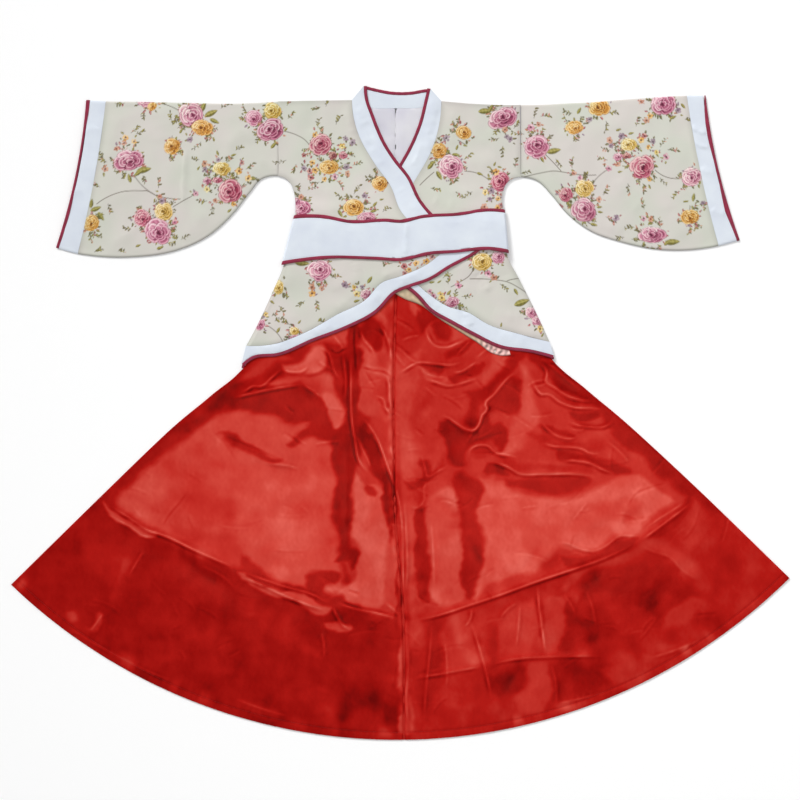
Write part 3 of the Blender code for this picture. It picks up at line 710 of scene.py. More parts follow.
# %% Inks
GROUND = linear("#D4D2CA")
INKS = {name: [linear(code) for code in codes.split()] for name, codes in {
    # dark, middle, pale and, for roses, the lip of a petal
    "pink": "#6E2440 #B25E7C #DDA2B2 #F6E2E0",
    "rose": "#621A36 #A44C6C #D28CA2 #F0D4D8",
    "deep": "#5C122C #A03450 #CC7488 #EECAC8",
    "orange": "#6E3D12 #B97726 #DEA752 #F5DFAA",
    "yellow": "#78581C #BE9538 #E0C06C #F7ECC0",
    "burgundy": "#4A141E #822E38 #B96E6C #E2B8AC",
    "leaf": "#4C4A1C #7F7836 #BDB36A",
    "dull leaf": "#37351F #655F3C #9A9368",
    "purple": "#5E4A58 #8C7482 #BCA8B2",
    "salmon": "#7E4634 #B97A60 #E0B49A",
    "twig": "#5E5242 #85775E #AA9E84",
}.items()}


def blend(canvas, index, share, colour):
    """Lay a colour over some points of the canvas, by a share for each."""
    share = np.clip(share, 0, 1)[:, None]
    canvas["colour"][index] = canvas["colour"][index] * (1 - share) + colour * share


def local(canvas, centre, size, turn, reach=1.3, squash=1.0):
    """Points near a motif, in its own turned coordinates, where its radius is 1."""
    offset = canvas["points"] - centre
    index = np.nonzero((np.abs(offset) < size * reach).all(axis=1))[0]
    c, s = np.cos(turn), np.sin(turn)
    u = (offset[index, 0] * c + offset[index, 1] * s) / size
    v = (-offset[index, 0] * s + offset[index, 1] * c) / (size * squash)
    return index, u, v


# %% [markdown]
# A petal is an oval with soft corners. Real petals on printed cloth have a pale lip, a few strokes of ink
# and a dark gap where they go under the next, and those three make it read as a rose.

# %% Roses
def tones(share, shades):
    """A colour from the darkest shade to the palest."""
    steps = np.linspace(0, 1, len(shades))
    return np.stack([np.interp(share, steps, [shade[k] for shade in shades]) for k in range(3)], axis=1)


PETAL_RINGS = [
    # petals, distance from the heart, half length and half width, as shares of the rose's radius
    (6, 0.6, 0.42, 0.56), (5, 0.44, 0.38, 0.47), (4, 0.27, 0.31, 0.37), (3, 0.11, 0.22, 0.26),
]


def petal(canvas, index, u, v, place, size, angle, shades, tone, dice):
    """One petal: pale at its lip, dark where it goes under the next, with a stroke or two along it."""
    c, s = np.cos(angle), np.sin(angle)
    out = ((u - place[0]) * c + (v - place[1]) * s) / size[0]
    across = (-(u - place[0]) * s + (v - place[1]) * c) / size[1]
    reach = (np.abs(out)**2.4 + np.abs(across)**2.4)**(1 / 2.4)
    shade = tone + 0.44 * np.exp(-((reach - 0.79) / 0.13)**2) * (out > -0.2) - 0.66 * smooth(0.2 - out)
    for _ in range(2):
        stroke = np.exp(-((across - dice.uniform(-0.8, 0.8) - 0.2 * out) / 0.09)**2)
        shade = shade - 0.3 * stroke * smooth((0.75 - out) / 0.4)
    shade = shade - 0.7 * smooth((reach - 0.9) / 0.08)
    blend(canvas, index, (1.02 - reach) / 0.1, tones(shade, shades))


def rose(canvas, x, y, radius, colour, turn=0.0, squash=1.0, ragged=0.0):
    """A full rose, lit from the upper left, its petals laid from the rim inwards round its heart."""
    shades = INKS[colour]
    index, u, v = local(canvas, at((x, y)), radius * PIXEL, np.radians(turn), 1.5, squash)
    if not len(index):
        return
    dice = np.random.default_rng(int(x * 7 + y * 13))
    lit = np.radians(135 - turn)
    lean = dice.uniform(0, 6.3)
    heart = 0.17 * np.array([np.cos(lean), np.sin(lean)])
    for count, out, long, wide in PETAL_RINGS:
        middle = heart * (1 - out / 0.7)
        under = np.hypot(u - middle[0], v - middle[1])
        blend(canvas, index, 0.8 * smooth((out + 0.58 * long - under) / 0.14), shades[0])
        start = dice.uniform(0, 6.3)
        for k in dice.permutation(count):
            angle = start + 6.283 * k / count + dice.uniform(-0.25, 0.25)
            far = out * (1 + dice.uniform(-0.1, 0.08 + ragged))
            tone = 0.5 + 0.2 * np.cos(angle - lit) + dice.uniform(-0.14, 0.14)
            place = middle + far * np.array([np.cos(angle), np.sin(angle)])
            size = (long * dice.uniform(0.85, 1.12), wide * dice.uniform(0.8, 1.15))
            petal(canvas, index, u, v, place, size, angle, shades, tone, dice)
    under = np.hypot(u - heart[0], v - heart[1])
    blend(canvas, index, 0.9 * smooth((0.15 - under) / 0.08), shades[0])


# %% [markdown]
# The small motifs are simple: a pointed oval with a rib, five dots round an eye, and thin lines. Seeded
# dice turn and size them, so that no two are alike and each run gives the same print.

# %% Leaves, blossoms, twigs and stems
def leaf(canvas, x, y, length, turn, colour="leaf", width=0.42):
    """A pointed leaf, one half darker than the other, with a pale rib."""
    index, u, v = local(canvas, at((x, y)), length * PIXEL / 2, np.radians(turn))
    half = width * np.clip(1 - u * u, 0, 1)**0.75 * (1 - 0.25 * u)
    edge = np.clip((half - np.abs(v)) / 0.09, 0, 1) * (np.abs(u) < 1)
    tone = np.where(v > 0, 0.72, 0.38) + 0.12 * np.sin(14 * u + 6 * np.abs(v))
    rim = smooth((np.abs(v) / np.maximum(half, 0.01) - 0.7) / 0.3)
    tone = tone + 0.5 * np.exp(-(v / 0.05)**2) - 0.6 * rim
    blend(canvas, index, edge, tones(tone, INKS[colour]))


def blossom(canvas, x, y, radius, colour):
    """A small flower of five petals round a dark eye."""
    dice = np.random.default_rng(int(x * 11 + y * 5))
    index, u, v = local(canvas, at((x, y)), radius * PIXEL, dice.uniform(0, 6.3), 1.6)
    shades = INKS[colour]
    for k in range(5):
        angle = 6.283 * k / 5 + dice.uniform(-0.2, 0.2)
        far, size = dice.uniform(0.5, 0.75), dice.uniform(0.36, 0.5)
        reach = np.hypot(u - far * np.cos(angle), v - far * np.sin(angle)) / size
        blend(canvas, index, np.clip((1.05 - reach) / 0.3, 0, 1),
              tones(dice.uniform(0.35, 0.8) + 0.3 * (1 - reach), shades))
    blend(canvas, index, (0.36 - np.hypot(u, v)) / 0.12, shades[0])


def stem(canvas, points, width=0.5, colour="twig", strength=0.85):
    """A thin line through pixels of the photograph. The width is in mm."""
    path = along(curve(at(points)), even(24))
    index = np.nonzero(close_to(path, canvas["points"], 3))[0]
    if len(index):
        away, _, _ = nearest(canvas["points"][index], path)
        blend(canvas, index, strength * np.clip((width + 0.7 - away) / 0.9, 0, 1), INKS[colour][0])


def leaflets(canvas, x, y, radius, count, dice, length=(2.6, 4.6)):
    """Small leaves and buds that stand out round a spot."""
    for angle in dice.uniform(0, 360, count):
        far = radius + dice.uniform(0, 4.5)
        c, s = np.cos(np.radians(angle)), np.sin(np.radians(angle))
        kind = dice.choice(["dull leaf", "leaf", "burgundy", "salmon", "purple"],
                           p=[0.36, 0.2, 0.24, 0.13, 0.07])
        leaf(canvas, x + far * c, y - far * s, dice.uniform(*length), angle + dice.uniform(-50, 50),
             kind, 0.5)


def twig(canvas, x, y, length, turn):
    """A fine twig with small leaves on both sides."""
    dice = np.random.default_rng(int(x * 3 + y * 17))
    c, s = np.cos(np.radians(turn)), np.sin(np.radians(turn))
    bow, steps = dice.uniform(-0.5, 0.5), np.linspace(0, 1, 7)
    px, py = x + length * (steps * c - bow * steps**2 * s), y - length * (steps * s + bow * steps**2 * c)
    stem(canvas, np.column_stack([px, py]), 0.3, "twig", 0.8)
    for k in range(1, 7):
        angle = turn + (1 if k % 2 else -1) * dice.uniform(20, 70)
        a, b = np.cos(np.radians(angle)), np.sin(np.radians(angle))
        leaf(canvas, px[k] + 1.5 * a, py[k] - 1.5 * b, dice.uniform(2.0, 4.6), angle,
             dice.choice(["dull leaf", "leaf", "burgundy", "salmon"], p=[0.5, 0.34, 0.06, 0.1]),
             dice.uniform(0.35, 0.55))


# %% [markdown]
# The charts say where each motif lies: pixels of the photograph for the place and the radius, degrees
# for the turn. Motifs of the sleeves, of the two fronts and of the peplum are in one list, because each
# piece takes those that fall on it.

# %% Chart of the large roses
# x, y, radius, colour, turn, squash, ragged
ROSES = entries("""
145 100 8 pink 0 0.9 0; 152 106 5 orange 30 0.9 0; 190.5 114.5 12.8 pink 20 1 0;
202 127.5 11 orange -10 0.75 0; 172 147 8 orange 0 0.95 0.2; 128.5 161 14 rose 10 0.68 0.25;
164 211.5 9.3 yellow 20 0.95 0; 141.7 218 8.6 deep 0 1 0; 158 231 13.5 rose -30 0.92 0;
91 223 8.5 orange 60 0.85 0; 222.5 169 9 yellow 0 0.75 0; 230.5 191 12 deep 40 0.95 0;
217.5 180.3 5 deep 0 0.6 0; 207 181 4.5 rose 0 0.8 0; 253.3 117.5 8.5 rose 0 0.95 0;
272.2 110.7 9 yellow 30 0.95 0; 270.6 129.7 13.8 rose 25 0.75 0.05; 320.5 145 11.5 deep 30 0.9 0;
329 166.6 9.8 orange 0 0.75 0; 332.9 155.2 4.6 burgundy 0 0.8 0; 343 155.2 4.8 deep 0 0.8 0;
380 183.4 7.8 orange 0 0.95 0.2; 354 207.8 11 orange 5 0.8 0; 366.5 218 9.5 rose 0 0.6 0;
302.6 208.3 8.5 rose 0 0.9 0; 296.8 201.5 4.5 rose 0 0.9 0; 439 150.5 7.8 orange 0 1 0;
450.5 166 12.8 pink -20 0.92 0; 463.3 132 8.2 orange -20 0.85 0.1; 503 118 13.5 rose 20 0.75 0.2;
536 145.8 12.5 rose 15 0.88 0.2; 500.5 181.5 10.5 deep 60 0.9 0; 599.6 107 10.5 orange 0 0.85 0;
574.4 127.5 8.2 orange 0 0.8 0.2; 584.2 188 9.3 yellow 0 0.95 0; 566 194.5 7.3 deep 0 1 0;
583.5 210.5 12.8 rose -20 0.95 0; 629 144.5 8.8 yellow 0 0.75 0; 641.5 167 12.3 deep 40 0.95 0;
627 155.8 5 burgundy 0 0.6 0; 617.9 157 4.8 rose 0 0.85 0; 664.5 103.5 12.8 rose 20 0.85 0;
691.5 176.5 10 pink 20 0.95 0; 690 216.8 9 orange 0 0.8 0.15; 652.5 235.5 13.3 rose 0 0.62 0.2;
319.5 271 12.5 pink 10 0.82 0.1; 278.5 287.3 7.8 yellow 90 0.7 0; 481.5 262.5 10 yellow 10 0.88 0;
498.2 257.6 6.8 rose 0 1 0; 452 302.5 6.5 rose 20 0.8 0.2; 532 313 6.5 pink 0 0.9 0.1;
536.5 321 5 pink 0 0.9 0.1; 260.5 325 6 rose 60 0.8 0.1; 365.5 294 5.5 pink 30 0.8 0.1;
294.5 331 5 yellow 0 0.8 0; 295 337.5 5 rose 0 0.6 0;
""")
# x, y, length, turn
LEAVES = entries("""
203 106.5 13 65; 211 113 15 25; 214.5 121 11 -25; 195.8 113.5 6 40; 181.5 123.5 7 10; 181 131 6 60;
144 170 16 12; 138.5 173 10 35; 129.5 178.2 10 105; 91.5 203.5 10 80; 96 209 12 20; 101 216.5 11 -55;
172.6 231.5 6 10; 174.7 238 6 -20; 138.2 245.6 6 20; 160 247.7 8 20; 198.5 168.4 5 60; 217.5 153 6 110;
233.6 155 6 20; 253.3 179 6 10; 207 189.5 6 20; 229.4 210.5 6 40; 273.5 144.9 9 50; 340.5 214 9 -60;
373.6 211.5 7 10; 375 204.5 7 50; 381.7 199.6 5 10; 431 165 11 50; 439.3 175.5 11 -60; 457 147.2 6 70;
465.5 145.4 5 -20; 456 154.4 8 -5; 485.5 110.8 15 5; 491 107.5 9 60; 497.8 105.5 5 0; 554 150.8 15 12;
542.3 159.6 7 -60; 480 173.8 7 -20; 494.7 163.9 5 70; 499.9 166.9 5 -20; 488.7 166.9 4 0; 579.3 110.4 8 60;
599.6 207 6 10; 600.3 212 6 -10; 594 224.5 8 -15; 618.6 129.8 6 20; 631.2 133.3 6 15; 619.9 171.9 5 10;
672.6 242 16 5; 667.5 243 8 30; 693.6 197.2 9 80; 686 201.4 6 10; 673.3 117.2 8 30; 683.5 106 7 -50;
302.5 263.5 15 -3; 369.9 280 9 55; 356.8 301 7 20; 521.8 302.5 17 20; 516 292 8 -60; 449 292.7 7 50;
272.3 302.2 6 -40; 278.5 330 7 60; 299.6 322 5 50; 501.2 324.8 5 80; 542.4 335 5 60; 432 282.4 6 10;
439.4 281.8 5 30; 649.4 186.6 5 110;
""")
print("roses:", len(ROSES), "leaves:", len(LEAVES))

# %% [markdown]
# The small motifs have charts of their own. A blossom needs only its place, because its size and turn
# come from dice seeded by that place.

# %% Chart of the blossoms, twigs and stems
# colour: x,y of each blossom
BLOSSOMS = dict(entries("""
salmon: 116.5,148.8 124.2,143 105.2,169 160,196.5 175,222 205,163.5 215.4,200.7 301,196.9 609.5,140.3
  574,173.5 599,199.5 646.6,120.5 641,101.5 650.8,219 312,287.3 322,288.5 347.6,173.6 493.9,277.6
  538.6,124.3 505,129.4 484.4,206.9 617.9,164.2;
orange: 134,141.7 125.6,137.5 239,171 233.6,204 312.3,162.2 315,169.8 324.3,179 315,134.6 496.5,171.6
  498.2,198.3 497.3,207.8 641,140.3 649.4,179 650,115.8 312,293.5 409,270.3 416.4,263.5 426,261.8 331.5,166
  342,146 248,178.5 648,147.3;
yellow: 342.2,146 207,189.4 356.8,294 354.3,287.3 440.6,294.5 441.8,298 266,314.6 485.3,192.3 540,329
  656.5,152.3;
burgundy: 242,162.8 309.6,170.9 310.7,177.4 500.8,205.2 644.5,136 404.2,266.7 404.8,273.3 432,257.5
  560,206.5 304,155;
purple: 218.2,160 204.9,169.8 352.4,142.2 345.4,137.8 303.7,168.2 346.5,166.6 335.6,176.3 364.4,196
  446.4,138 506.8,136.3 510.2,139 491.3,190.6 489.6,199.2 589.8,119.3 621.4,136 610.9,146 653,141.7
  615.8,218.2 703,203 678.2,110.2 345,285.4 362.4,287.3 190,139.6 162,201;
rose: 195.8,193.7 608.8,168.4 458.2,285.7 580,178 643.8,218.4 487.9,274 429.7,291.5 433.5,296 530.9,127
  174.7,222 334.8,176.7 666,157;
"""))
# x, y, length, turn
TWIGS = entries("""
124 103 8 200; 160 104 8 20; 144 110 8 250; 131 133 9 40; 136 134 8 10; 107 162 8 160; 103 158 6 110;
221 108 9 50; 172 121 8 120; 205 135 9 320; 170.5 154 6 280; 201 142 10 230; 143 176 6 290; 158.6 188 9 80;
108 204 9 290; 100 187 8 150; 131 229 7 170; 181 239 8 20; 167 243 7 340; 94 252 8 30; 118 251 6 10;
90 233 8 260; 94 234 7 340; 212 206 8 280; 236 150 7 40; 199 160 6 150; 207 201 8 190; 287 105 9 60;
288 118 7 30; 326 106 9 80; 320 107 7 190; 336 124 9 80; 318 127 8 100; 286 160 12 200; 296 164 8 250;
353 165 8 20; 337 181 8 330; 319 182 7 200; 378 175 6 110; 308 190 9 30; 354 194 10 60; 345 199 9 170;
383 212 7 50; 431 188 8 330; 464 159 9 20; 460 124 6 110; 503 146 9 250; 514 128 7 40; 499 138 8 200;
524 134 8 160; 534 118 10 70; 541 116 9 10; 515 167 8 70; 521 173 8 0; 472 192 9 200; 465 198 8 170;
572 113 8 170; 608 113 9 10; 606 121 9 290; 573.5 135 6 280; 556 159 8 290; 572 168 9 100; 603 195 9 40;
606 217 9 340; 575 220 7 200; 636 126 8 60; 660 147 10 60; 668 150 9 10; 607 160 9 160; 628 184 9 260;
643 184 7 300; 660 178 8 300; 680 191 9 200; 690 227 6 280; 643.8 209 9 90; 634 227 8 170; 648 225 6 30;
624 237 7 190; 632 239 6 350; 685 119 7 350; 304.6 301 8 220; 316 300 9 290; 332 278 7 30; 279 306 8 320;
272 316 7 30; 290 325 7 140; 318 321.5 6 20; 392 264 8 170; 448 284 8 90; 462 296.5 9 350; 500 284 9 320;
443 278 7 40; 458 307 8 340; 465 311 6 300; 275 321 8 20; 300 192 7 110; 702 201 8 290; 610 150 7 190;
246 169 9 20; 250 177 8 340;
""")
# x,y of the points that each stem runs through
STEMS = [spots(line) for line in """
159,103 170,106 178,110; 134,175 146,189 155,195;
97,204 110,196 124,191.5 138,190.8 149,191.5 155,195 166,198 180,199; 173,207 183,201 192,196;
284,131 297,135 304,139 310,146; 420,185 427,178 434,172; 465,171 477,173 489,180; 546,155 553,162 561,171;
524,177 540,173 554,171 568,173 582,175 596,175; 592,184 598,177 607,170; 655,170 666,177 682,178;
473,270 469,276 460,282 451,287; 470,279 481,279 496,280 507,282 519,288 529,295; 507,281 515,279 524,279;
266,325 275,331 283,342; 241,195 246,198 249,201; 690,206 690,211; 458,140 465,144; 172,136 172,141;
574,118 574,122
""".split(";")]


def printed(points, ground=GROUND):
    """The print's colour at each of a piece's points, in linear light."""
    canvas = {"points": points, "colour": np.tile(ground, (len(points), 1))}
    for line in STEMS:
        stem(canvas, line)
    for row in TWIGS:
        twig(canvas, *row)
    dice = np.random.default_rng(3)
    for x, y, radius, *_ in ROSES:
        leaflets(canvas, x, y, radius * 0.88, int(1.9 * radius), dice, (2.2, 5.0))
        for angle in dice.uniform(0, 360, max(1, int(radius / 3))):
            c, s = np.cos(np.radians(angle)), np.sin(np.radians(angle))
            twig(canvas, x + 0.8 * radius * c, y - 0.8 * radius * s, dice.uniform(5, 9),
                 angle + dice.uniform(-35, 35))
    for places in BLOSSOMS.values():
        for x, y in places:
            leaflets(canvas, x, y, 2.2, 3, dice)
    for row in LEAVES:
        leaf(canvas, *row)
    for row in ROSES:
        rose(canvas, *row)
    for colour, places in BLOSSOMS.items():
        for k, (x, y) in enumerate(places):
            blossom(canvas, x, y, 2.6 + 0.9 * (k % 3) / 2, colour)
    return canvas["colour"]


def seam_shade(points, line, depth=0.16, reach=7.0):
    """Painted shade beside a seam, where the cloth dips under the next piece."""
    away, _, _ = nearest(points, line[::2])
    return (1 - depth * np.exp(-(away / reach)**2))[:, None]


def put_print_and_shade(thing, colours):
    """Put the print, with any painted shade in it, on a piece: a colour for each upper point, and the bare
    ground for the rest.
    """
    ink = thing.data.color_attributes.new("print", "FLOAT_COLOR", "POINT")
    every = np.ones((len(thing.data.vertices), 4), np.float32)
    every[:, :3] = GROUND
    every[:len(colours), :3] = colours
    ink.data.foreach_set("color", every.ravel())


# %% [markdown]
# ## Putting a piece in the model
#
# Each finished piece rides on the garment's one body, stands for its CAD solid, and has the size that it
# was cut to noted in a table of cuts. The flat size is measured here from the pattern, so it is the
# maker's own: width by length.

# %% Noting the cut of the cloth
CUTS = {}


def area_of(outline):
    x, y = outline[:, 0], outline[:, 1]
    return abs(np.dot(x, np.roll(y, -1)) - np.dot(y, np.roll(x, -1))) / 2


def sewn_in(thing, node):
    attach(thing, "root")
    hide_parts(node)
    return thing


def cut(thing, width, length, area=None, rests_on=(), with_pieces=()):
    """Note the width and length in mm that a piece was cut to."""
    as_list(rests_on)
    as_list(with_pieces)
    CUTS[thing.name] = (round(width), round(length))


def cut_by_outline(thing, outline, **more):
    size = outline.max(axis=0) - outline.min(axis=0)
    cut(thing, size[0], size[1], area_of(outline), **more)


# %% [markdown]
# ## The skirt
#
# The skirt is two layers of satin, front and back, sewn at the sides, and each front half meets the
# other at a puckered centre seam. It has been folded in a packet, so one sharp crease bends across it.
# The large folds are the ones that the CAD solid has too. The smaller ones are only here.

# %% Folds and crests of the skirt
# rise, half width, lean: points of the ridge, the same folds as the solid
FOLDS = entries("""
3.6 16 1: -582,-176 -488,-238 -363,-290 -258,-333 -133,-379 -8,-404;
3.6 16 1: 8,-404 135,-380 271,-330 365,-296 480,-244 590,-168; 5 16 1: -16,80 -16,0 -12,-80 2,-240 8,-390;
4 18 1: 8,-410 10,-500 8,-630; 7 20 1: -90,150 -92,60 -100,-30 -106,-150 -102,-270 -92,-340;
6 18 1: -84,10 -64,-60 -36,-140 -14,-220; 4 18 1: -62,170 -40,120 -30,60 -34,10;
5 20 1: -300,56 -220,84 -150,92 -118,70; 4 20 1: -345,40 -250,44 -180,42 -150,12 -138,-40;
3.5 18 1: -348,-40 -285,-76 -226,-92 -190,-106; 4.5 18 1: -6,72 36,100 84,96 130,104;
6 20 1: 232,84 196,66 166,16 150,-24 128,-34 78,-14; 4 18 1: 78,84 116,66 150,76 170,104;
5 20 1: 256,66 300,30 350,12 396,6; 5 20 1: 140,-66 200,-92 270,-98 340,-92 420,-116;
4 20 1: 110,-100 126,-180 134,-260 140,-340; 3 24 1: 40,-512 130,-502 220,-486 340,-476 430,-470;
3 20 1: 262,-358 274,-400 284,-470; 3 20 1: 160,-476 180,-540 196,-600;
3 22 1: -132,-384 -150,-440 -140,-500; 3 26 1: -520,-280 -430,-330 -330,-400 -260,-480;
""")
# rise, half width on the left hand of the line as it runs, share of it on the right hand: pixels
CRESTS = [(*row[:3], at(row[3])) for row in entries("""
1.6 12 0.5: 232,398 246,394.5 266,390 283,387 303,384; 1 10 0.6: 303,384 312,390 321,397;
1.4 10 0.4: 240,393 246,390 253,386 261,386 270,379 281,368; 1.2 9 0.6: 281,368 292,372 302,371 308,366;
1.1 9 0.6: 319,347 328,352 332,362 335,372 341,380; -1 5 1: 330,347 337,353 343,350 349,348;
1.2 6 0.6: 360,329 364,339 372,349 376,355; 1.3 6 0.6: 378,323 384,331 390,347 391,363;
-1.2 4 1: 355,325 354,340 355,356 356,374; 1.4 6 1.4: 426,327 428,337 434,345 448,347 456,344 467,340;
1 5 1: 456,356 464,347 471,340; 0.9 5 1: 477,358 482,353 489,348; 1 5 1: 402,341 410,337 420,336;
0.9 5 1: 331,333 338,341 344,350; 1.2 5 0.7: 386,374 389,384 390,400 393,414;
1.1 5 1: 343,352 344,362 346,380 345,400; 0.9 5 1: 432,622 430,650 426,690 424,722;
0.8 5 1: 520,604 519,622 516,648; 0.7 5 1: 586,590 592,606 596,626; 0.7 5 1: 444,640 447,664 446,690;
0.8 5 1: 551,664 556,684 556,706;
2.2 10 0.8: 350,352 351,375 351,400 352,420 355,440 360,462 366,470 372,476;
1.2 6 1: 357,437 362,448 368,460 373,472;
2 9 0.8: 360,415 368,424 377,438 382,450 387,464 392,478 398,497 402,520;
1.4 7 1: 398,497 402,525 403,560 403,604; 1.3 7 0.7: 375,396 383,399 386,408 393,416;
-1.2 5 1: 360,366 372,370 384,372 392,378; 1 6 1: 390,444 392,452 394,462;
-0.5 7 0.7: 220,433 240,442 258,449 283,461; 0.8 5 1: 262,462 275,464 290,466 300,470;
-0.6 6 1: 162,527 170,514 180,502 187,492; 1.8 8 0.7: 104,503 128,517 150,531 160,534 197,551 238,569;
1 5 1: 108,514 130,527 148,537 158,536; 1.5 6 0.7: 240,576 262,585 290,598 328,611;
1.2 5 1: 240,571 280,585 318,597 332,605; 1.4 5 1: 333,606 337,616 342,624 352,630;
1.5 6 1.2: 336,602 356,609 376,613 400,620; 1 5 1: 385,603 393,609 400,616;
0.9 7 1: 128,577 136,563 144,550; 0.9 6 1: 321,632 324,645 324,658;
0.9 6 1: 66,626 90,641 115,655 140,668 175,682; 0.8 6 1: 236,699 262,709 290,717;
-0.8 4 1: 348,590 354,592 360,594; 0.9 6 1: 90,631 97,622 103,613; 0.7 8 1: 200,566 222,576 236,590;
1.5 10 0.5: 397,374 404,370 418,362.5 434,363.5 453,364.5 463,361;
1.2 7 0.7: 451,372 462,371 470,366 478,361; 1.3 9 0.6: 424,378 436,382 448,385.5 458,384 468,381 480,377;
0.7 5 1: 424,386 430,391 436,396;
1.9 8 1.6: 519,372 510,376 502,384 494,394 485,404 487,409 482,415 479,424 474,430 465,428.5 456,423
  448,417.5 441,416 438,421; 1.4 8 0.5: 469,457 471,449 480,445 488,446 495,452 508,455 520,457;
1.5 8 0.5: 484,461 497,463 508,467 518,473 545,474 575,474 596,477;
1.4 8 0.5: 540,441 553,446 570,447 582,449 590,453 603,452;
1.3 8 0.5: 560,461 578,461 592,464 602,469 616,474;
1.6 8 0.5: 531,377 536,388 541,394 548,394 560,402 576,407.5 590,408 606,409;
1.5 8 0.5: 536,361 547,373 546,381 556,388 568,396 580,399.5 598,401;
1 6 1: 540,357 552,366 566,378 580,389; 1.2 7 0.6: 540,420 549,430 560,437 571,438.5 580,435;
1.1 7 0.6: 566,420 575,424 590,427 606,426 614,420; 0.8 5 1: 569,427 576,430 586,428;
0.8 8 1: 605,440 620,452 630,464; 1 6 1: 404,500 406,530 407,560 405,600;
0.8 5 1: 410,505 417,508 424,500 424,488 428,480; 1.1 6 1: 421,455 425,468 427,476 440,470 448,466;
-0.5 5 1: 404,480 418,479 428,481 440,476; 0.6 6 1: 431,520 433,550 434,590;
1.7 6 0.8: 406,622 436,616 467,606 501,594.5 538,581 565,572 604,558.5 640,541;
1.5 6 1: 640,541 664,523.5 691,503; 1 5 1: 645,528 665,515 684,503;
0.8 7 0.5: 556,543 566,543 580,549 594,551 606,546 620,536 634,536 644,536;
0.5 10 0.5: 640,545 655,552 668,556 685,572 700,580; 1 5 1: 471,608 471,617 464,627;
0.8 6 1: 500,620 508,609 518,603; 1.3 6 0.5: 538,585 538.5,600 541,620 546,655;
1 6 0.7: 471,622 477,640 484,664 492,700; 1.1 6 0.5: 486,667 505,661 525,658 545,657 580,656 606,656;
1 5 0.5: 412,679 440,674 462,670 484,666; 0.8 6 1: 563,593 570,603 576,615;
0.8 7 1: 407,640 408,670 406,700 410,730; 0.8 6 1: 606,692 584,698 556,704;
0.8 6 1: 700,640 676,650 650,658;
""")]
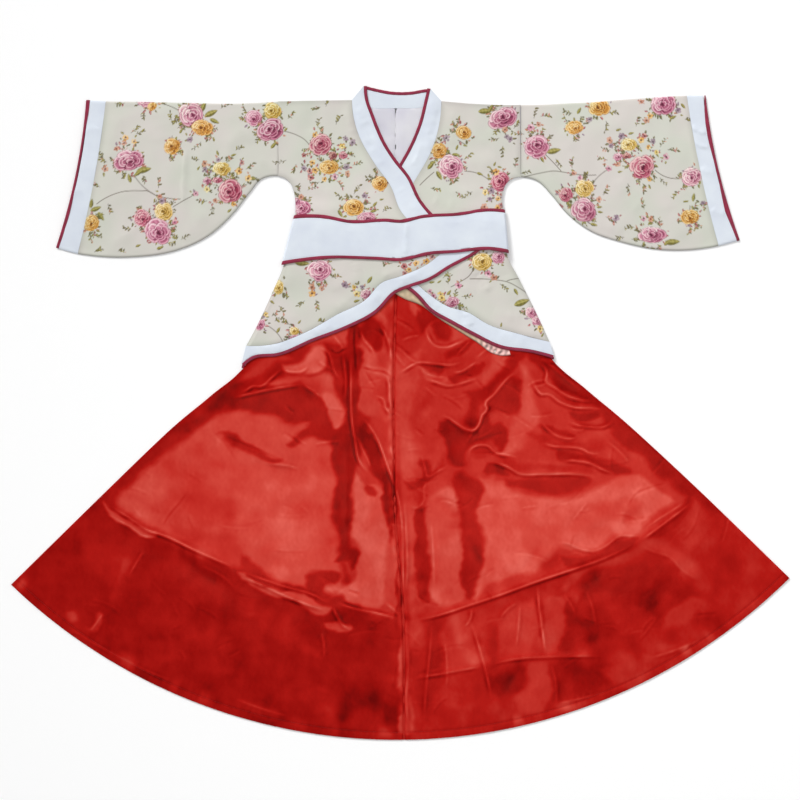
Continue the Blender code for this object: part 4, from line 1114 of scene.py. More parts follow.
# %% [markdown]
# Satin is woven with long floating threads, so it looks pale where they mirror the light and deep red
# where they don't. In the photograph it lies in patches of both. Lamps alone can't put such a patch in
# its place, because a mirror image moves with slopes of a degree. So each patch is painted: an outline
# with one tone, pale for a painted reflection and dark for painted shade, and the skirt's mesh carries
# the sum of them as painted sheen and shade: one number at each point.

# %% Patches of painted sheen and painted shade
# painted tone from 0, dark shade, to 1, pale sheen; softness of the border: outline, both in pixels. Later
# rows lie on top
PAINTED_SHEEN_PATCHES = entries("""
0.4 8: 404,620 470,608 560,575 640,545 700,505 790,585 600,700 406,742;
0.5 6: 400,330 520,345 560,378 600,415 640,458 688,502 640,541 540,581 470,606 402,621;
0.66 9: 222,409 250,412 275,414 283,421 296,424 308,420 304,430 292,438 300,442 314,437 326,438 333,448
  335,480 335,520 339,540 342,560 340,585 328,600 310,592 285,582 255,570 238,568 215,558 180,545 158,533
  140,521 120,508 118,497 135,480 150,466 168,452 190,434 208,420;
0.52 16: 160,500 180,493 215,498 240,503 235,518 205,527 180,525 165,515;
0.6 14: 165,455 200,445 240,455 250,480 215,490 175,480; 0.74 18: 262,520 300,515 315,545 290,560 262,545;
0.5 14: 170,525 205,530 240,545 245,562 215,556 180,543; 0.74 10: 122,500 140,502 156,518 150,522 130,512;
0.8 7: 320,585 345,588 380,598 375,604 345,598;
0.3 4: 219,433 228,434 240,441 258,448 270,455 284,461 270,462 255,456 240,449 226,440;
0.3 4: 284,445 290,441 299,441 305,440 298,446 290,447;
0.25 5: 306,578 318,571 330,570 340,577 338,583 322,584 330,594 338,602 325,599 305,590;
0.3 5: 241,556 250,562 262,572 265,579 252,575 240,566;
0.5 8: 246,370 262,360 284,355 292,358 272,368 256,376 240,382;
0.62 5: 262,386 285,376 310,376 325,372 335,385 342,400 343,425 338,428 328,420 322,400 310,388 300,382
  280,385; 0.76 5: 283,368 300,362 308,352 320,346 326,352 323,366 310,373 296,375 286,372;
0.76 4: 321,397 330,394 338,398 343,410 342,428 335,428 328,422 324,410;
0.26 4: 226,400 245,398 262,394 285,389 302,386 312,392 321,399 326,412 333,426 334,441 322,438 306,436
  298,444 288,446 300,432 308,421 296,423 283,420 275,413 250,411 232,409;
0.2 7: 220,399 245,400 268,399 262,407 235,408; 0.12 14: 165,437 200,410 240,380 250,378 225,402 190,425;
0.6 5: 357,310 396,290 396,420 385,425 375,415 360,412 357,380;
0.6 6: 300,336 330,322 352,312 350,345 330,346 312,344;
0.74 5: 364,350 374,352 380,366 392,372 391,378 374,374 366,366;
0.24 4: 360,327 371,318 382,325 386,338 384,350 376,351 368,342 362,335;
0.74 4: 380,314 388,318 392,340 391,352 387,345 386,330; 0.2 3: 352,318 356,318 357,345 353,348;
0.42 6: 396,290 416,300 422,320 420,350 397,356; 0.66 4: 409,300 420,304 424,312 416,314 410,308;
0.26 4: 419,308 430,314 428,330 421,334 418,322;
0.62 6: 426,330 440,326 460,332 474,338 470,348 445,350 430,344;
0.28 4: 433,328 446,325 452,332 447,340 436,338;
0.3 4: 444,350 456,345 466,340 476,338 470,347 458,354 448,358;
0.2 4: 339,358 347,354 349,380 349,425 353,450 353,480 351,520 350,548 358,556 354,574 348,561 336,560
  342,552 340,540 336,520 335,480 334,455 330,440 342,425 345,400 344,380 338,368;
0.2 3: 353,346 357,347 357,380 358,412 357,425 354,412 353,380;
0.74 4: 354,470 362,480 375,485 383,500 388,520 391,545 390,575 388,600 378,606 360,603 346,600 344,592
  357,580 358,565 356,550 352,540 353,510 354,490;
0.16 4: 362,422 370,432 378,445 384,462 390,480 394,497 384,500 378,482 372,466 364,450 358,437;
0.18 4: 380,485 388,492 394,505 399,530 400,560 400,600 398,612 388,604 391,580 392,550 388,520 383,500;
0.32 3: 366,482 371,488 374,496 368,494 364,487;
0.66 3: 104,502 120,514 138,526 156,534 148,537 130,529 112,517;
0.25 3: 255,575 285,583 315,595 335,603 325,604 300,595 268,584;
0.66 3: 238,573 262,583 290,593 320,602 331,608 329,613 310,610 285,600 260,588 240,578;
0.34 16: 85,548 110,540 140,552 130,575 110,580 90,565; 0.31 14: 160,565 200,570 235,590 215,605 180,595;
0.36 10: 232,596 255,602 280,614 300,636 322,655 290,647 262,627 240,610;
0.62 3: 326,622 334,622 345,627 353,630 350,633 335,632 328,628;
0.52 4: 85,629 92,622 100,613 102,616 97,628 92,632; 0.5 6: 68,612 74,610 78,620 72,622;
0.34 9: 150,642 170,640 180,655 165,664; 0.4 6: 240,702 262,706 280,716 258,716;
0.62 7: 405,395 412,400 412,445 425,455 438,440 437,470 420,478 404,478;
0.7 4: 420,364 424,372 436,376 450,380 446,385 436,384 423,378; 0.3 3: 424,365 446,366 445,372 432,371;
0.3 3: 450,377 462,374 475,368 482,364 481,373 465,379 452,383;
0.66 5: 480,378 488,366 498,352 508,352 500,366 490,378 480,384;
0.27 5: 462,392 480,387 492,380 502,366 512,356 526,352 526,358 512,368 502,380 494,391 485,401 478,412
  474,425 466,424 470,405;
0.7 7: 520,364 530,370 533,400 540,420 530,432 515,452 505,456 512,430 516,415 521,395;
0.28 5: 510,376 519,377 520,392 518,410 505,415 490,410 496,399 504,389;
0.2 4: 440,420 448,421 458,427 468,432 478,430 480,440 472,444 466,455 465,465 455,462 446,455 441,440;
0.25 4: 483,416 487,414 490,425 500,424 508,430 508,445 503,453 497,448 490,440 484,442;
0.38 3: 472,451 482,447 492,450 495,456 485,458 473,457;
0.24 4: 524,350 540,351 556,360 570,374 590,390 606,404 598,407 580,398 562,390 552,380 540,366 530,360;
0.2 3: 568,413 585,411 600,415 592,419 574,418;
0.3 3: 576,421 600,424 614,417 618,412 616,422 600,430 580,427;
0.3 4: 540,425 552,425 560,431 570,433 575,437 560,436 548,432;
0.4 5: 528,432 545,434 560,440 578,442 605,444 602,449 585,447 560,444 540,440;
0.28 4: 555,450 575,451 590,456 605,458 620,464 632,470 625,478 612,471 598,465 575,459 556,457;
0.36 4: 500,457 515,460 530,464 560,465 590,467 596,472 570,472 540,472 520,470;
0.2 4: 484,464 495,465 506,470 508,474 495,475 484,471;
0.26 5: 612,432 625,430 640,441 652,457 645,458 630,448 618,442;
0.74 6: 480,476 500,481 515,491 535,497 560,497 590,492 610,480 640,476 660,488 676,500 664,510 645,524
  640,534 620,534 600,546 575,550 560,545 545,560 535,571 515,578 490,584 472,600 474,580 482,560 484,540
  480,510; 0.27 4: 503,479 520,478 545,479 575,479 592,480 588,487 572,492 550,494 535,491 520,486 506,483;
0.6 12: 590,505 620,500 640,508 625,518 600,516;
0.28 6: 452,482 462,470 470,478 482,482 484,490 478,500 479,520 481,545 483,560 480,578 472,592 468,600
  463,590 461,570 462,540 458,510 454,492;
0.7 4: 425,500 440,490 452,488 457,510 461,540 461,575 462,602 436,606 431,580 429,540 426,515;
0.6 4: 404,500 412,498 416,510 414,540 416,570 412,600 425,608 405,616;
0.26 3: 415,510 422,505 425,520 427,545 429,580 428,604 422,602 417,580 415,540;
0.2 3: 397,560 402,600 402,660 399,735 394,735 396,660 396,610;
0.62 3: 405,625 410,640 409,700 411,735 406,736 404,680;
0.28 3: 404,482 420,479 432,475 440,470 436,480 425,485 410,488;
0.3 4: 421,456 428,460 432,474 426,478 421,468;
0.25 4: 560,556 575,557 600,552 620,539 638,538 632,546 610,557 580,568 564,567;
0.3 3: 650,534 668,521 690,506 686,516 668,531 648,541;
0.54 9: 640,544 660,541 680,548 700,574 690,578 672,561 655,552 635,556 610,567 580,577 570,576 600,563;
0.5 9: 694,500 705,512 712,520 700,535 690,550 684,545 690,525;
0.28 12: 560,588 600,574 640,564 660,562 690,585 705,602 680,625 640,622 600,640 560,650 556,620;
0.26 10: 556,662 600,660 620,668 600,690 556,700 548,680;
0.52 5: 405,622 420,621 416,640 411,660 409,678 405,684;
0.28 8: 424,632 440,630 446,668 438,690 424,720 416,690 424,660;
0.52 8: 448,620 466,618 472,650 470,668 450,672; 0.3 7: 480,626 494,622 500,640 492,660 486,655;
0.52 7: 505,612 534,600 536,640 530,656 508,656; 0.56 5: 544,602 560,596 562,640 550,654;
0.54 6: 532,662 540,662 542,712 526,716; 0.26 8: 490,672 526,668 526,690 500,700;
0.5 7: 668,610 700,600 716,606 690,622 660,626; 0.46 8: 600,668 622,664 645,678 620,690;
0.5 5: 660,646 676,646 674,652 660,652;
""")

# %% [markdown]
# Besides the folds that can be pointed at, satin has many small ones. They are scattered with seeded
# dice and turned roughly along the pull of the cloth: longer ones shape it and are also painted faintly
# into its sheen and shade, and short ones are only painted, as lines of painted highlight and shade.

# %% Scattered folds
def dimples(count, zone, length, rise, lean_angle):
    """Small folds scattered in a zone, given by its lower left and upper right corner."""
    made = []
    low, high = np.array(zone[0]), np.array(zone[1])
    while len(made) < count:
        middle = rng.uniform(low, high)
        if not inside(middle[None], OUTLINES["skirt"])[0]:
            continue
        angle = np.radians(lean_angle) + rng.normal(0, 0.5) + np.arctan2(middle[1] - 700, middle[0])
        half = rng.uniform(*length) / 2 * np.array([np.cos(angle), np.sin(angle)])
        bow = rng.uniform(-0.25, 0.25) * np.array([-half[1], half[0]])
        made.append((rng.uniform(*rise) * rng.choice([-1, 1]), rng.uniform(9, 20), rng.uniform(0.5, 1.4),
                     [middle - half, middle + bow, middle + half]))
    return made


SCATTERED = (dimples(34, ((-620, -600), (0, -300)), (50, 130), (0.3, 0.9), 0)
             + dimples(56, ((0, -610), (640, -260)), (40, 120), (0.4, 1.2), 0)
             + dimples(30, ((-420, -330), (-110, 90)), (50, 140), (0.3, 0.8), 90)
             + dimples(30, ((100, -330), (480, 60)), (50, 140), (0.3, 0.9), 90)
             + dimples(14, ((-90, -380), (120, 180)), (40, 100), (0.4, 1.0), 0))
PAINTED_WRINKLE_LINES = (dimples(44, ((-640, -600), (0, -40)), (18, 80), (0.1, 0.32), 90)
            + dimples(60, ((0, -610), (660, -40)), (18, 80), (0.15, 0.45), 90)
            + dimples(44, ((-240, -60), (300, 190)), (16, 60), (0.3, 0.75), 60))

# %% [markdown]
# The upper side of the front is the sum of a slow swell, the folds, the small creases and the pull of its
# seams: thread draws the cloth into even puckers beside the hem and the centre seam.

# %% Shape of the skirt
def skirt_creases(points):
    """The small creases of the skirt, clear of the top and of its own edges."""
    clear = 1 - read(NEAR_TOP, points)
    edge = smooth(read(TO_EDGE, points) / 14)
    return (0.55 * creased(points, CRESTS) + 0.25 * creased(points, SCATTERED)) * clear * edge


def skirt_heights(points):
    """Underside and upper side of the front of the skirt."""
    swell = 1.6 * (1 + np.sin(points[:, 0] / 61 + points[:, 1] / 150)
                   * np.sin(points[:, 1] / 83 - points[:, 0] / 210)) / 2
    free = (1 - read(UNDER_TOP, points)) * (0.25 + 0.75 * smooth(read(TO_EDGE, points) / 60))
    low = read(LEVELS[SKIRT_FRONT], points) + (swell + 0.3 * creased(points, FOLDS)) * free
    clear = 1 - read(NEAR_TOP, points)
    fine = skirt_creases(points) + rumple(points, 0.12, 55, 5)
    away, share, _ = nearest(points, SKIRT_HEM)
    pucker = np.sin(share * 610 + 3 * np.sin(share * 97)) * np.exp(-((away - 15) / 10)**2)
    seam, run, _ = nearest(points, SKIRT_SEAM)
    pulled = np.sin(run * 190 + 2 * np.sin(run * 60)) * np.exp(-(seam / 9)**2) * clear
    fine += 0.32 * pucker - 0.5 * np.exp(-((away - 15) / 2.5)**2) + 0.35 * pulled
    fine -= 1.3 * np.exp(-(seam / 3.5)**2) * (0.3 + 0.7 * clear)
    return low, low + WALL + fine

# %% [markdown]
# A crest in satin shows as a thin pale line where its threads turn up to the light, and a dark one on the
# steeper side; here both are painted, as painted highlight and painted shade. Where cloth dips, at a
# seam, a hem or under the top, painted shade makes it darker.

# %% Painted sheen and shade of the satin
def painted_crest_lines(points):
    """Painted highlight along each crest and painted shade beside it, on its steeper side."""
    tone = np.zeros(len(points))
    for rise, _, lean, line in CRESTS + PAINTED_WRINKLE_LINES:
        path = along(curve(line), even(30))
        near = close_to(path, points, 20)
        away, share, side = nearest(points[near], path)
        steep = np.where(side * (lean - 1) > 0, 1, 0.45 if lean == 1 else 0.15)
        crest_glint_and_shade = 0.38 * np.exp(-(away / 2.0)**2) - 0.3 * steep * np.exp(-((away - 4.9) / 2.8)**2)
        waver = 0.75 + 0.25 * np.sin(19 * share + 5 * rise) * np.sin(7 * share + 3)
        ends = smooth(share / 0.22) * smooth((1 - share) / 0.22)
        tone[near] += np.clip(rise / 1.4, -1, 1.5) * ends * waver * crest_glint_and_shade
    return tone


def painted_seam_shade(points):
    """Painted shade where the cloth dips: at the centre seam, at the sewn hem and under the top, with painted
    glints on the puckers beside the seam and the hem.
    """
    seam, run, side = nearest(points, SKIRT_SEAM)
    hem, share, _ = nearest(points, SKIRT_HEM)
    over = np.maximum(read(TO_TOP, points), 0)
    pulled = 1 + 0.8 * np.sin(run * 150 + 2 * np.sin(run * 47))
    pucker_glints = np.maximum(np.sin(share * 74 + 4 * np.sin(share * 29)) * np.sin(share * 41 + 1) - 0.2, 0)
    # Painted glints on the puckers on one side of the seam, and painted shade on the other side.
    seam_glint_and_shade = (0.13 * pulled * np.exp(-((seam - 8) / 4)**2) * (side < 0)
                   - 0.16 * np.exp(-((seam - 9) / 5)**2) * (side > 0) * smooth((run - 0.4) / 0.2))
    # Painted glints on the hem's puckers, and painted shade along its sewn line.
    hem_glint_and_shade = 0.45 * pucker_glints * np.exp(-((hem - 14) / 12)**2) - 0.12 * np.exp(-((hem - 15) / 1.8)**2)
    # Painted shade under the edge of the top.
    return -0.4 * np.exp(-(seam / 2.6)**2) + seam_glint_and_shade + hem_glint_and_shade - 0.22 * np.exp(-(over / 7)**2)


BARE_TONE, MIDDLE_TONE, CONTRAST = 0.26, 0.42, 1.2


def painted_sheen_and_shade(points):
    """Painted sheen and shade of the satin, from 0, dark shade, to 1, pale sheen. The borders of its patches
    wander softly.
    """
    warped = points + np.column_stack([rumple(points, 4.0, 75, seed) + rumple(points, 1.0, 22, seed + 1)
                                       for seed in (21, 23)])
    tone = np.full(len(points), BARE_TONE)
    for value, soft, outline in PAINTED_SHEEN_PATCHES:
        path = closed(along(curve(closed(at(outline))), even(4 * len(outline)))[:-1])
        margin = (soft + 1.3) * PIXEL
        near = np.nonzero(close_to(path, warped, margin))[0]
        if len(near):
            away, _, _ = nearest(warped[near], path)
            signed = np.where(inside(warped[near], path[:-1]), away, -away)
            tone[near] += smooth(0.5 + signed / margin) * (value - tone[near])
    tone = MIDDLE_TONE + CONTRAST * (tone - MIDDLE_TONE)
    # Painted highlights and shade of crests, seams and scattered folds go on top, with faint random clouds of
    # tone.
    return np.clip(tone + painted_crest_lines(points) + painted_seam_shade(points)
                   + rumple(points, 0.04, 90, 8) + rumple(points, 0.022, 34, 9)
                   + rumple(points, 0.012, 13, 10) + 0.13 * creased(points, SCATTERED), 0, 1)


def paint(thing, name, values, rest):
    """One number for each upper point of a piece, under the name that its material reads."""
    layer = thing.data.attributes.new(name, "FLOAT", "POINT")
    every = np.full(len(thing.data.vertices), rest, np.float32)
    every[:len(values)] = values
    layer.data.foreach_set("value", every)

# %% [markdown]
# Each front half is cut along its seam, shaped and given its painted sheen and shade by the functions
# above, and lies on the back.
# The corners of an outline are named, so that its cells keep them sharp.

# %% Making the skirt
def make_skirt():
    back, _ = laid("skirt_back_cloth", OUTLINES["skirt"], 14, 42,
                   lambda p: (read(LEVELS[SKIRT_BACK], p), read(LEVELS[SKIRT_BACK], p) + WALL), SATIN)
    paint(back, "painted_sheen_and_shade", [], 0.5)
    sewn_in(back, "skirt_back")
    cut_by_outline(back, OUTLINES["skirt"])
    half = np.linspace(0, 1, 40)
    for side, sign in (("left", -1), ("right", 1)):
        seam = SKIRT_SEAM + (sign * SEAM / 2, 0)
        outline = np.vstack([down_skirt(sign), arc(SKIRT_ROWS[-1], sign * half[::-1])[1:-1], seam[::-1],
                             arc(SKIRT_ROWS[0], sign * half)[1:-1]])
        front, top = laid(f"skirt_front_{side}_cloth", outline, 2.5, 12.5, skirt_heights, SATIN,
                          [outline[0], outline[60], seam[0], seam[-1]], 0.5)
        paint(front, "painted_sheen_and_shade", painted_sheen_and_shade(top), 0.5)
        sewn_in(front, f"skirt_front_{side}")
        cut_by_outline(front, outline, rests_on=[back])
        print(front.name, len(front.data.polygons), "faces")


make_skirt()

# %% [markdown]
# ## The back of the top
#
# Only its wrong side shows, in the opening of the neck: the print is a pale ghost there, and the centre
# back seam is pulled into small puckers. The sewn line of a back is dark because the two seam allowances
# stand up beside it.

# %% Back halves
SEAM_BACK = np.array([(BACK_SEAM_X, 597.0), (BACK_SEAM_X - 1.5, 560.0), (BACK_SEAM_X, 500.0),
                      (BACK_SEAM_X, 82.0)])
BACK_BAND_WIDTH = 26
BACK_BAND_TOP = curve([LINES["side_left"][-1],
                       *[(x, y + BACK_BAND_WIDTH) for x, y in LINES["back_hem"][1:-1]],
                       LINES["side_right"][-1]])
BACK_CREASES = entries("""
1 8 0.6: -30,540 -22,515 -14,500; 0.9 9 1: 20,590 10,560 2,530; -0.8 8 1: -36,570 -30,550 -20,532;
0.7 8 1: 30,575 24,550 14,520;
""")


def back_heights(points):
    low = read(LEVELS[BACK], points)
    away, run, _ = nearest(points, SEAM_BACK)
    pucker = np.sin(run * 260 + 2 * np.sin(run * 71)) * np.exp(-(away / 6)**2)
    fine = creased(points, BACK_CREASES) + 0.3 * pucker - 0.9 * np.exp(-(away / 2.4)**2)
    return low, low + WALL + fine * smooth((points[:, 1] - 380) / 60)


def make_back():
    neck, low = LINE["neck_seam"], BACK_BAND_TOP
    for side, sign in (("left", -1), ("right", 1)):
        x = BACK_SEAM_X + sign * SEAM / 2
        part = neck[(neck[:, 0] - x) * sign > 1]
        low_part = low[(low[:, 0] - x) * sign > 1]
        top_end, low_end = (x, np.interp(x, *neck.T)), (x, np.interp(x, *low.T))
        if sign < 0:
            outline = np.vstack([LINE["side_left"], low_part, [low_end, top_end], part[::-1],
                                 LINE["shoulder_left"][::-1]])
        else:
            outline = np.vstack([[top_end, low_end], low_part, LINE["side_right"][::-1],
                                 LINE["shoulder_right"][::-1], part[::-1]])
        back, _ = laid(f"back_{side}_cloth", outline, 5, 20, back_heights, WRONG_SIDE, [top_end, low_end])
        sewn_in(back, f"back_{side}")
        cut_by_outline(back, outline)


make_back()

# %% [markdown]
# ## The two fronts
#
# The fronts cross over, the left one on top as it is seen here, and run on below the sash as a short
# peplum. They carry the print. Their creases are few and soft: the cloth is light and was smoothed by
# hand before the photograph was taken.

# %% Fronts
FRONT_CREASES = {
    "left": entries("""
0.9 12 0.6: -180,560 -150,520 -118,500; 0.8 14 1: -210,470 -170,440 -120,432;
0.9 10 0.7: -118,590 -100,570 -92,540; 0.8 10 1: -190,408 -150,400 -110,402;
1 12 0.6: -140,240 -110,250 -70,262; 0.9 12 1: -240,230 -222,262 -214,290;
1 10 0.7: -130,200 -100,222 -78,246; 0.8 14 1: -270,160 -230,180 -190,190;
0.7 12 1: -60,440 -40,410 -20,392; 0.9 9 0.6: -40,262 -10,276 20,284; 0.7 10 1: -160,292 -150,270 -156,250;
0.8 10 1: -90,296 -84,276 -92,256;
"""),
    "right": entries("""
0.9 12 0.6: 96,590 102,560 98,520; 0.9 14 1: 120,500 160,490 200,500; 0.9 12 0.7: 90,440 120,430 160,440;
0.8 12 1: 200,570 170,540 150,520; 1.2 12 0.6: 150,270 164,254 172,232; 0.9 12 1: 230,220 216,240 204,270;
0.8 12 1: 120,250 150,240 180,246; 0.8 12 1: 180,200 210,190 240,188; 0.8 10 1: 150,300 146,284 152,268;
0.7 12 1: 60,420 84,408 110,404;
"""),
}


def make_front(side, layer):
    side_line, hem = LINE[f"side_{side}"], LINE[f"hem_seam_{side}"]
    seam, shoulder = LINE[f"collar_seam_{side}"], LINE[f"shoulder_{side}"]
    if side == "left":
        outline = np.vstack([side_line, hem[1:], seam[-2::-1], shoulder[-2::-1]])
    else:
        outline = np.vstack([seam, hem[1:], side_line[-2::-1], shoulder[-2::-1]])

    def heights(points):
        low = read(LEVELS[layer], points)
        away, _, _ = nearest(points, side_line[::3])
        skirt = np.maximum(read(TO_EDGE, points) * -1, 0)
        sink = smooth((skirt - 9) / 6) * (points[:, 1] < 330) * (1 - smooth(away / 8))
        low = low + sink * (read(LEVELS[SKIRT_BACK], points) - low)
        x, y = points.T
        sash = np.minimum(*[nearest(points, LINE[f"sash_{edge}"][::6])[0] for edge in ("top", "bottom")])
        hidden = (y > np.interp(x, *LINE["sash_bottom"].T)) & (y < np.interp(x, *LINE["sash_top"].T))
        open_share = np.where(hidden, 0, smooth(sash / 16)) * smooth(away / 10)
        soft = creased(points, FRONT_CREASES[side]) + rumple(points, 0.45, 70, 11)
        return low, low + WALL + soft * open_share

    front, top = laid(f"front_{side}_cloth", outline, 1.2, 9, heights, COTTON,
                      [shoulder[0], shoulder[-1], seam[-1], hem[0], hem[-1], side_line[0]])
    # Painted shade along the front's edges, where it dips beside its seams.
    put_print_and_shade(front, printed(top) * seam_shade(top, outline))
    sewn_in(front, f"front_{side}")
    cut_by_outline(front, outline)
    print(front.name, len(front.data.polygons), "faces")
    return front


make_front("left", LEFT)
make_front("right", RIGHT)

# %% [markdown]
# ## Bands
#
# The collars and hem bands are long strips between two lines: the seam to the front and the piped edge.
# A strip is a plain grid, so it is made row by row. Bands are doubled cloth, so they are a little
# plump: the surface is crowned between its seams, and it puckers along them.

# %% Strips of cloth
def strip(name, one, other, layer, material, across, crown=0.5, creases=(), pucker=0.12):
    """A band of cloth between two paths with equally many points. Both counts are multiples of four."""
    share = even(across)[None, :, None]
    plan = one[:, None] * (1 - share) + other[:, None] * share
    rows, columns = plan.shape[:2]
    turned = np.cross(plan[-1, 0] - plan[0, 0], plan[0, -1] - plan[0, 0]) < 0
    if turned:
        plan = plan[:, ::-1]
    low = read(LEVELS[layer], plan)
    belly = 1 - (2 * even(across) - 1)**4
    run = np.cumsum(np.concatenate([[0], np.linalg.norm(np.diff(one, axis=0), axis=1)]))
    ripple = np.sin(run / 5.3 + 2 * np.sin(run / 17))[:, None] * (1 - belly)[None]
    flat = plan.reshape(-1, 2)
    soft = (rumple(flat, 0.2, 70, 14) + 1.4 * creased(flat, creases)).reshape(rows, columns)
    high = low + WALL - 0.3 + crown * belly[None] + pucker * ripple + soft * belly[None]
    top = np.dstack([plan, high]).reshape(-1, 3)
    under_plan, under_low = plan[::4, ::4], low[::4, ::4]
    under = np.dstack([under_plan, under_low]).reshape(-1, 3)
    small = under_plan.shape[:2]
    thing = shell(name, top, grid_quads(rows, columns), border(rows, columns), under, grid_quads(*small),
                  border(*small), material)
    outline = np.vstack([plan[:, 0], plan[::-1, -1]])
    length = (run[-1] + np.linalg.norm(np.diff(other, axis=0), axis=1).sum()) / 2
    return thing, length, area_of(outline)


def tube(name, path, layer):
    """A cord covered in crimson cotton: an oval tube along a path."""
    turns = np.linspace(0, 2 * np.pi, 11)[:-1]
    wide = PIPING_WIDTH * (0.5 + 0.02 * np.sin(np.arange(len(path)) * 0.9))
    low, height = read(LEVELS[layer], path), PIPING_HEIGHT + 0.5
    ring = [np.column_stack([beside(path, np.cos(t) * wide), low + height * (0.5 + 0.5 * np.sin(t))])
            for t in turns]
    places = np.stack(ring, axis=1).reshape(-1, 3)
    sides, count = len(turns), len(path)
    index = np.arange(count * sides).reshape(count, sides)
    right = np.roll(index, -1, axis=1)
    quads = np.stack([index[:-1], index[1:], right[1:], right[:-1]], axis=-1).reshape(-1, 4).tolist()
    quads += [index[0].tolist(), index[-1][::-1].tolist()]
    return as_piece(name, places, quads, CRIMSON, 60)


# %% [markdown]
# The bands are doubled strips of white satin, each with a piping sewn along one edge, so a band and its
# piping are made together.

# %% Collars, hem bands and their piping
BAND_CREASES = {
    "collar_left": entries("""
0.8 9 0.6: -92,580 -76,560 -62,520; -0.6 8 1: -80,600 -60,560 -52,530; 0.7 9 1: -84,600 -74,584 -66,560;
0.6 10 1: -60,520 -44,500 -34,480; 0.7 10 1: -4,440 8,420 14,400; 0.6 8 1: 10,396 24,400 40,396;
"""),
    "collar_right": entries("""
-0.7 8 1: 76,596 70,560 54,536; 0.8 7 0.6: 40,530 32,500 20,480; 0.8 9 1: 58,620 66,590 64,560;
0.7 9 1: 52,560 56,530 46,510;
"""),
    "hem_band_left": entries("""
0.6 8 1: -270,124 -250,128 -230,124; 0.8 8 1: -66,208 -50,222 -40,240; 0.7 7 1: -4,252 20,266 44,272;
0.7 7 1: -170,154 -150,164 -130,172;
"""),
    "hem_band_right": entries("""
1.1 8 0.6: 126,204 131,186 138,168; -0.8 6 1: 116,204 121,188 126,172; 0.8 8 1: 40,236 60,214 80,204;
0.6 9 1: 190,158 220,144 250,138;
"""),
}


def spaced(line, step=2.6, multiple=4):
    """Even points along a line, in a number of steps that divides by four."""
    length = np.linalg.norm(np.diff(line, axis=0), axis=1).sum()
    return along(line, even(int(np.ceil(length / step / multiple)) * multiple))


def along_like(line, other):
    return along(line, even(len(other) - 1))


def band_and_cord(kind, place, cord_line, one, other, layer, across, crown=0.5):
    """A white band and the piping at its edge. kind is collar or hem, and place is left, right or back."""
    cord = sewn_in(tube(f"{kind}_piping_{place}_cord", cord_line, layer), f"{kind}_piping_{place}")
    node = f"collar_{place}" if kind == "collar" else f"hem_band_{place}"
    band, length, area = strip(f"{node}_band", one, other, layer, WHITE, across, crown,
                               BAND_CREASES.get(node, ()))
    sewn_in(band, node)
    cut(band, area / length, length, with_pieces=[cord])


def make_bands(side, layer):
    outward = 1 if side == "left" else -1
    seam = spaced(LINE[f"collar_seam_{side}"])
    edge = along_like(LINE[f"collar_edge_{side}"], seam)
    band_and_cord("collar", side, beside(edge, -outward * PIPING_WIDTH / 2), beside(seam, outward * SEAM),
                  beside(edge, -outward * (SEAM + PIPING_WIDTH)), layer, 16, 0.55)
    seam = spaced(LINE[f"hem_seam_{side}"])
    edge = along_like(LINE[f"hem_edge_{side}"], seam)
    band_and_cord("hem", side, beside(edge, -SEAM - PIPING_WIDTH / 2), beside(seam, -SEAM), edge, layer, 12)


make_bands("left", LEFT)
make_bands("right", RIGHT)


def make_back_bands():
    neck = spaced(LINE["neck_seam"])
    edge = along_like(LINE["neck_edge"], neck)
    band_and_cord("collar", "back", beside(edge, -PIPING_WIDTH / 2), beside(neck, SEAM),
                  beside(edge, -SEAM - PIPING_WIDTH), BACK, 8, 0.4)
    top = spaced(BACK_BAND_TOP, 6)
    edge = along_like(LINE["back_hem"], top)
    band_and_cord("hem", "back", beside(edge, PIPING_WIDTH / 2), beside(top, -SEAM),
                  beside(edge, PIPING_WIDTH + SEAM), BACK, 4)


make_back_bands()

# %% [markdown]
# Below the right hem band the flowered cotton's own turned-up edge shows, crumpled towards the side.

# %% Facing of the right hem
FACING_CREASES = entries("""
1.2 5 0.6: 150,148 160,138 170,130; 1.4 5 0.6: 164,140 176,132 184,120; 1.2 5 1: 186,136 192,128 196,116;
-1 4 1: 172,138 180,128 188,116; 1 5 1: 66,200 72,194 76,186; 0.9 6 1: 10,226 26,222 44,212;
""")


FACING_ENDS = (-24, 215)            # it shows between these, across the garment
FACING_ACROSS = 12
PINK_FROM, PINK_RAMP = 140, 30


def make_facing():
    edge = along_like(LINE["hem_edge_right"], spaced(LINE["hem_seam_right"], 1.4))
    shown = edge[(edge[:, 0] > FACING_ENDS[0]) & (edge[:, 0] < FACING_ENDS[1])]
    upper = beside(along(shown, even(len(shown) // 4 * 4)), -2 * SEAM - PIPING_WIDTH)
    lower = along_like(LINE["facing_edge"], upper)
    facing, length, area = strip("hem_facing_right_cloth", upper, lower, RIGHT, COTTON, FACING_ACROSS, 0.3,
                                 FACING_CREASES, 0.3)
    places = np.array([v.co[:2] for v in facing.data.vertices])[:len(upper) * (FACING_ACROSS + 1)] / MM
    pink = smooth((places[:, 0] - PINK_FROM) / PINK_RAMP)[:, None]
    colours = linear("#C9B295") * (1 - pink) + linear("#E4B9B4") * pink
    # Painted shade and painted highlight on the facing's crumples.
    fold = rumple(places, 1.0, 9, 4)[:, None]
    colours = colours * np.clip(1 - 0.3 * fold * (0.3 + pink), 0.4, 1.4)
    # A painted shadow of the piping along the upper edge, and a dark brown line along the lower edge.
    for line, reach, code in ((lower, 1.7, "#6E4034"), (upper, 2.2, "#7C3A40")):
        share = (0.85 * np.exp(-(nearest(places, line)[0] / reach)**2))[:, None]
        colours = colours * (1 - share) + linear(code) * share
    put_print_and_shade(facing, colours)
    sewn_in(facing, "hem_facing_right")
    cut(facing, np.linalg.norm(upper - lower, axis=1).max(), length, area)


make_facing()

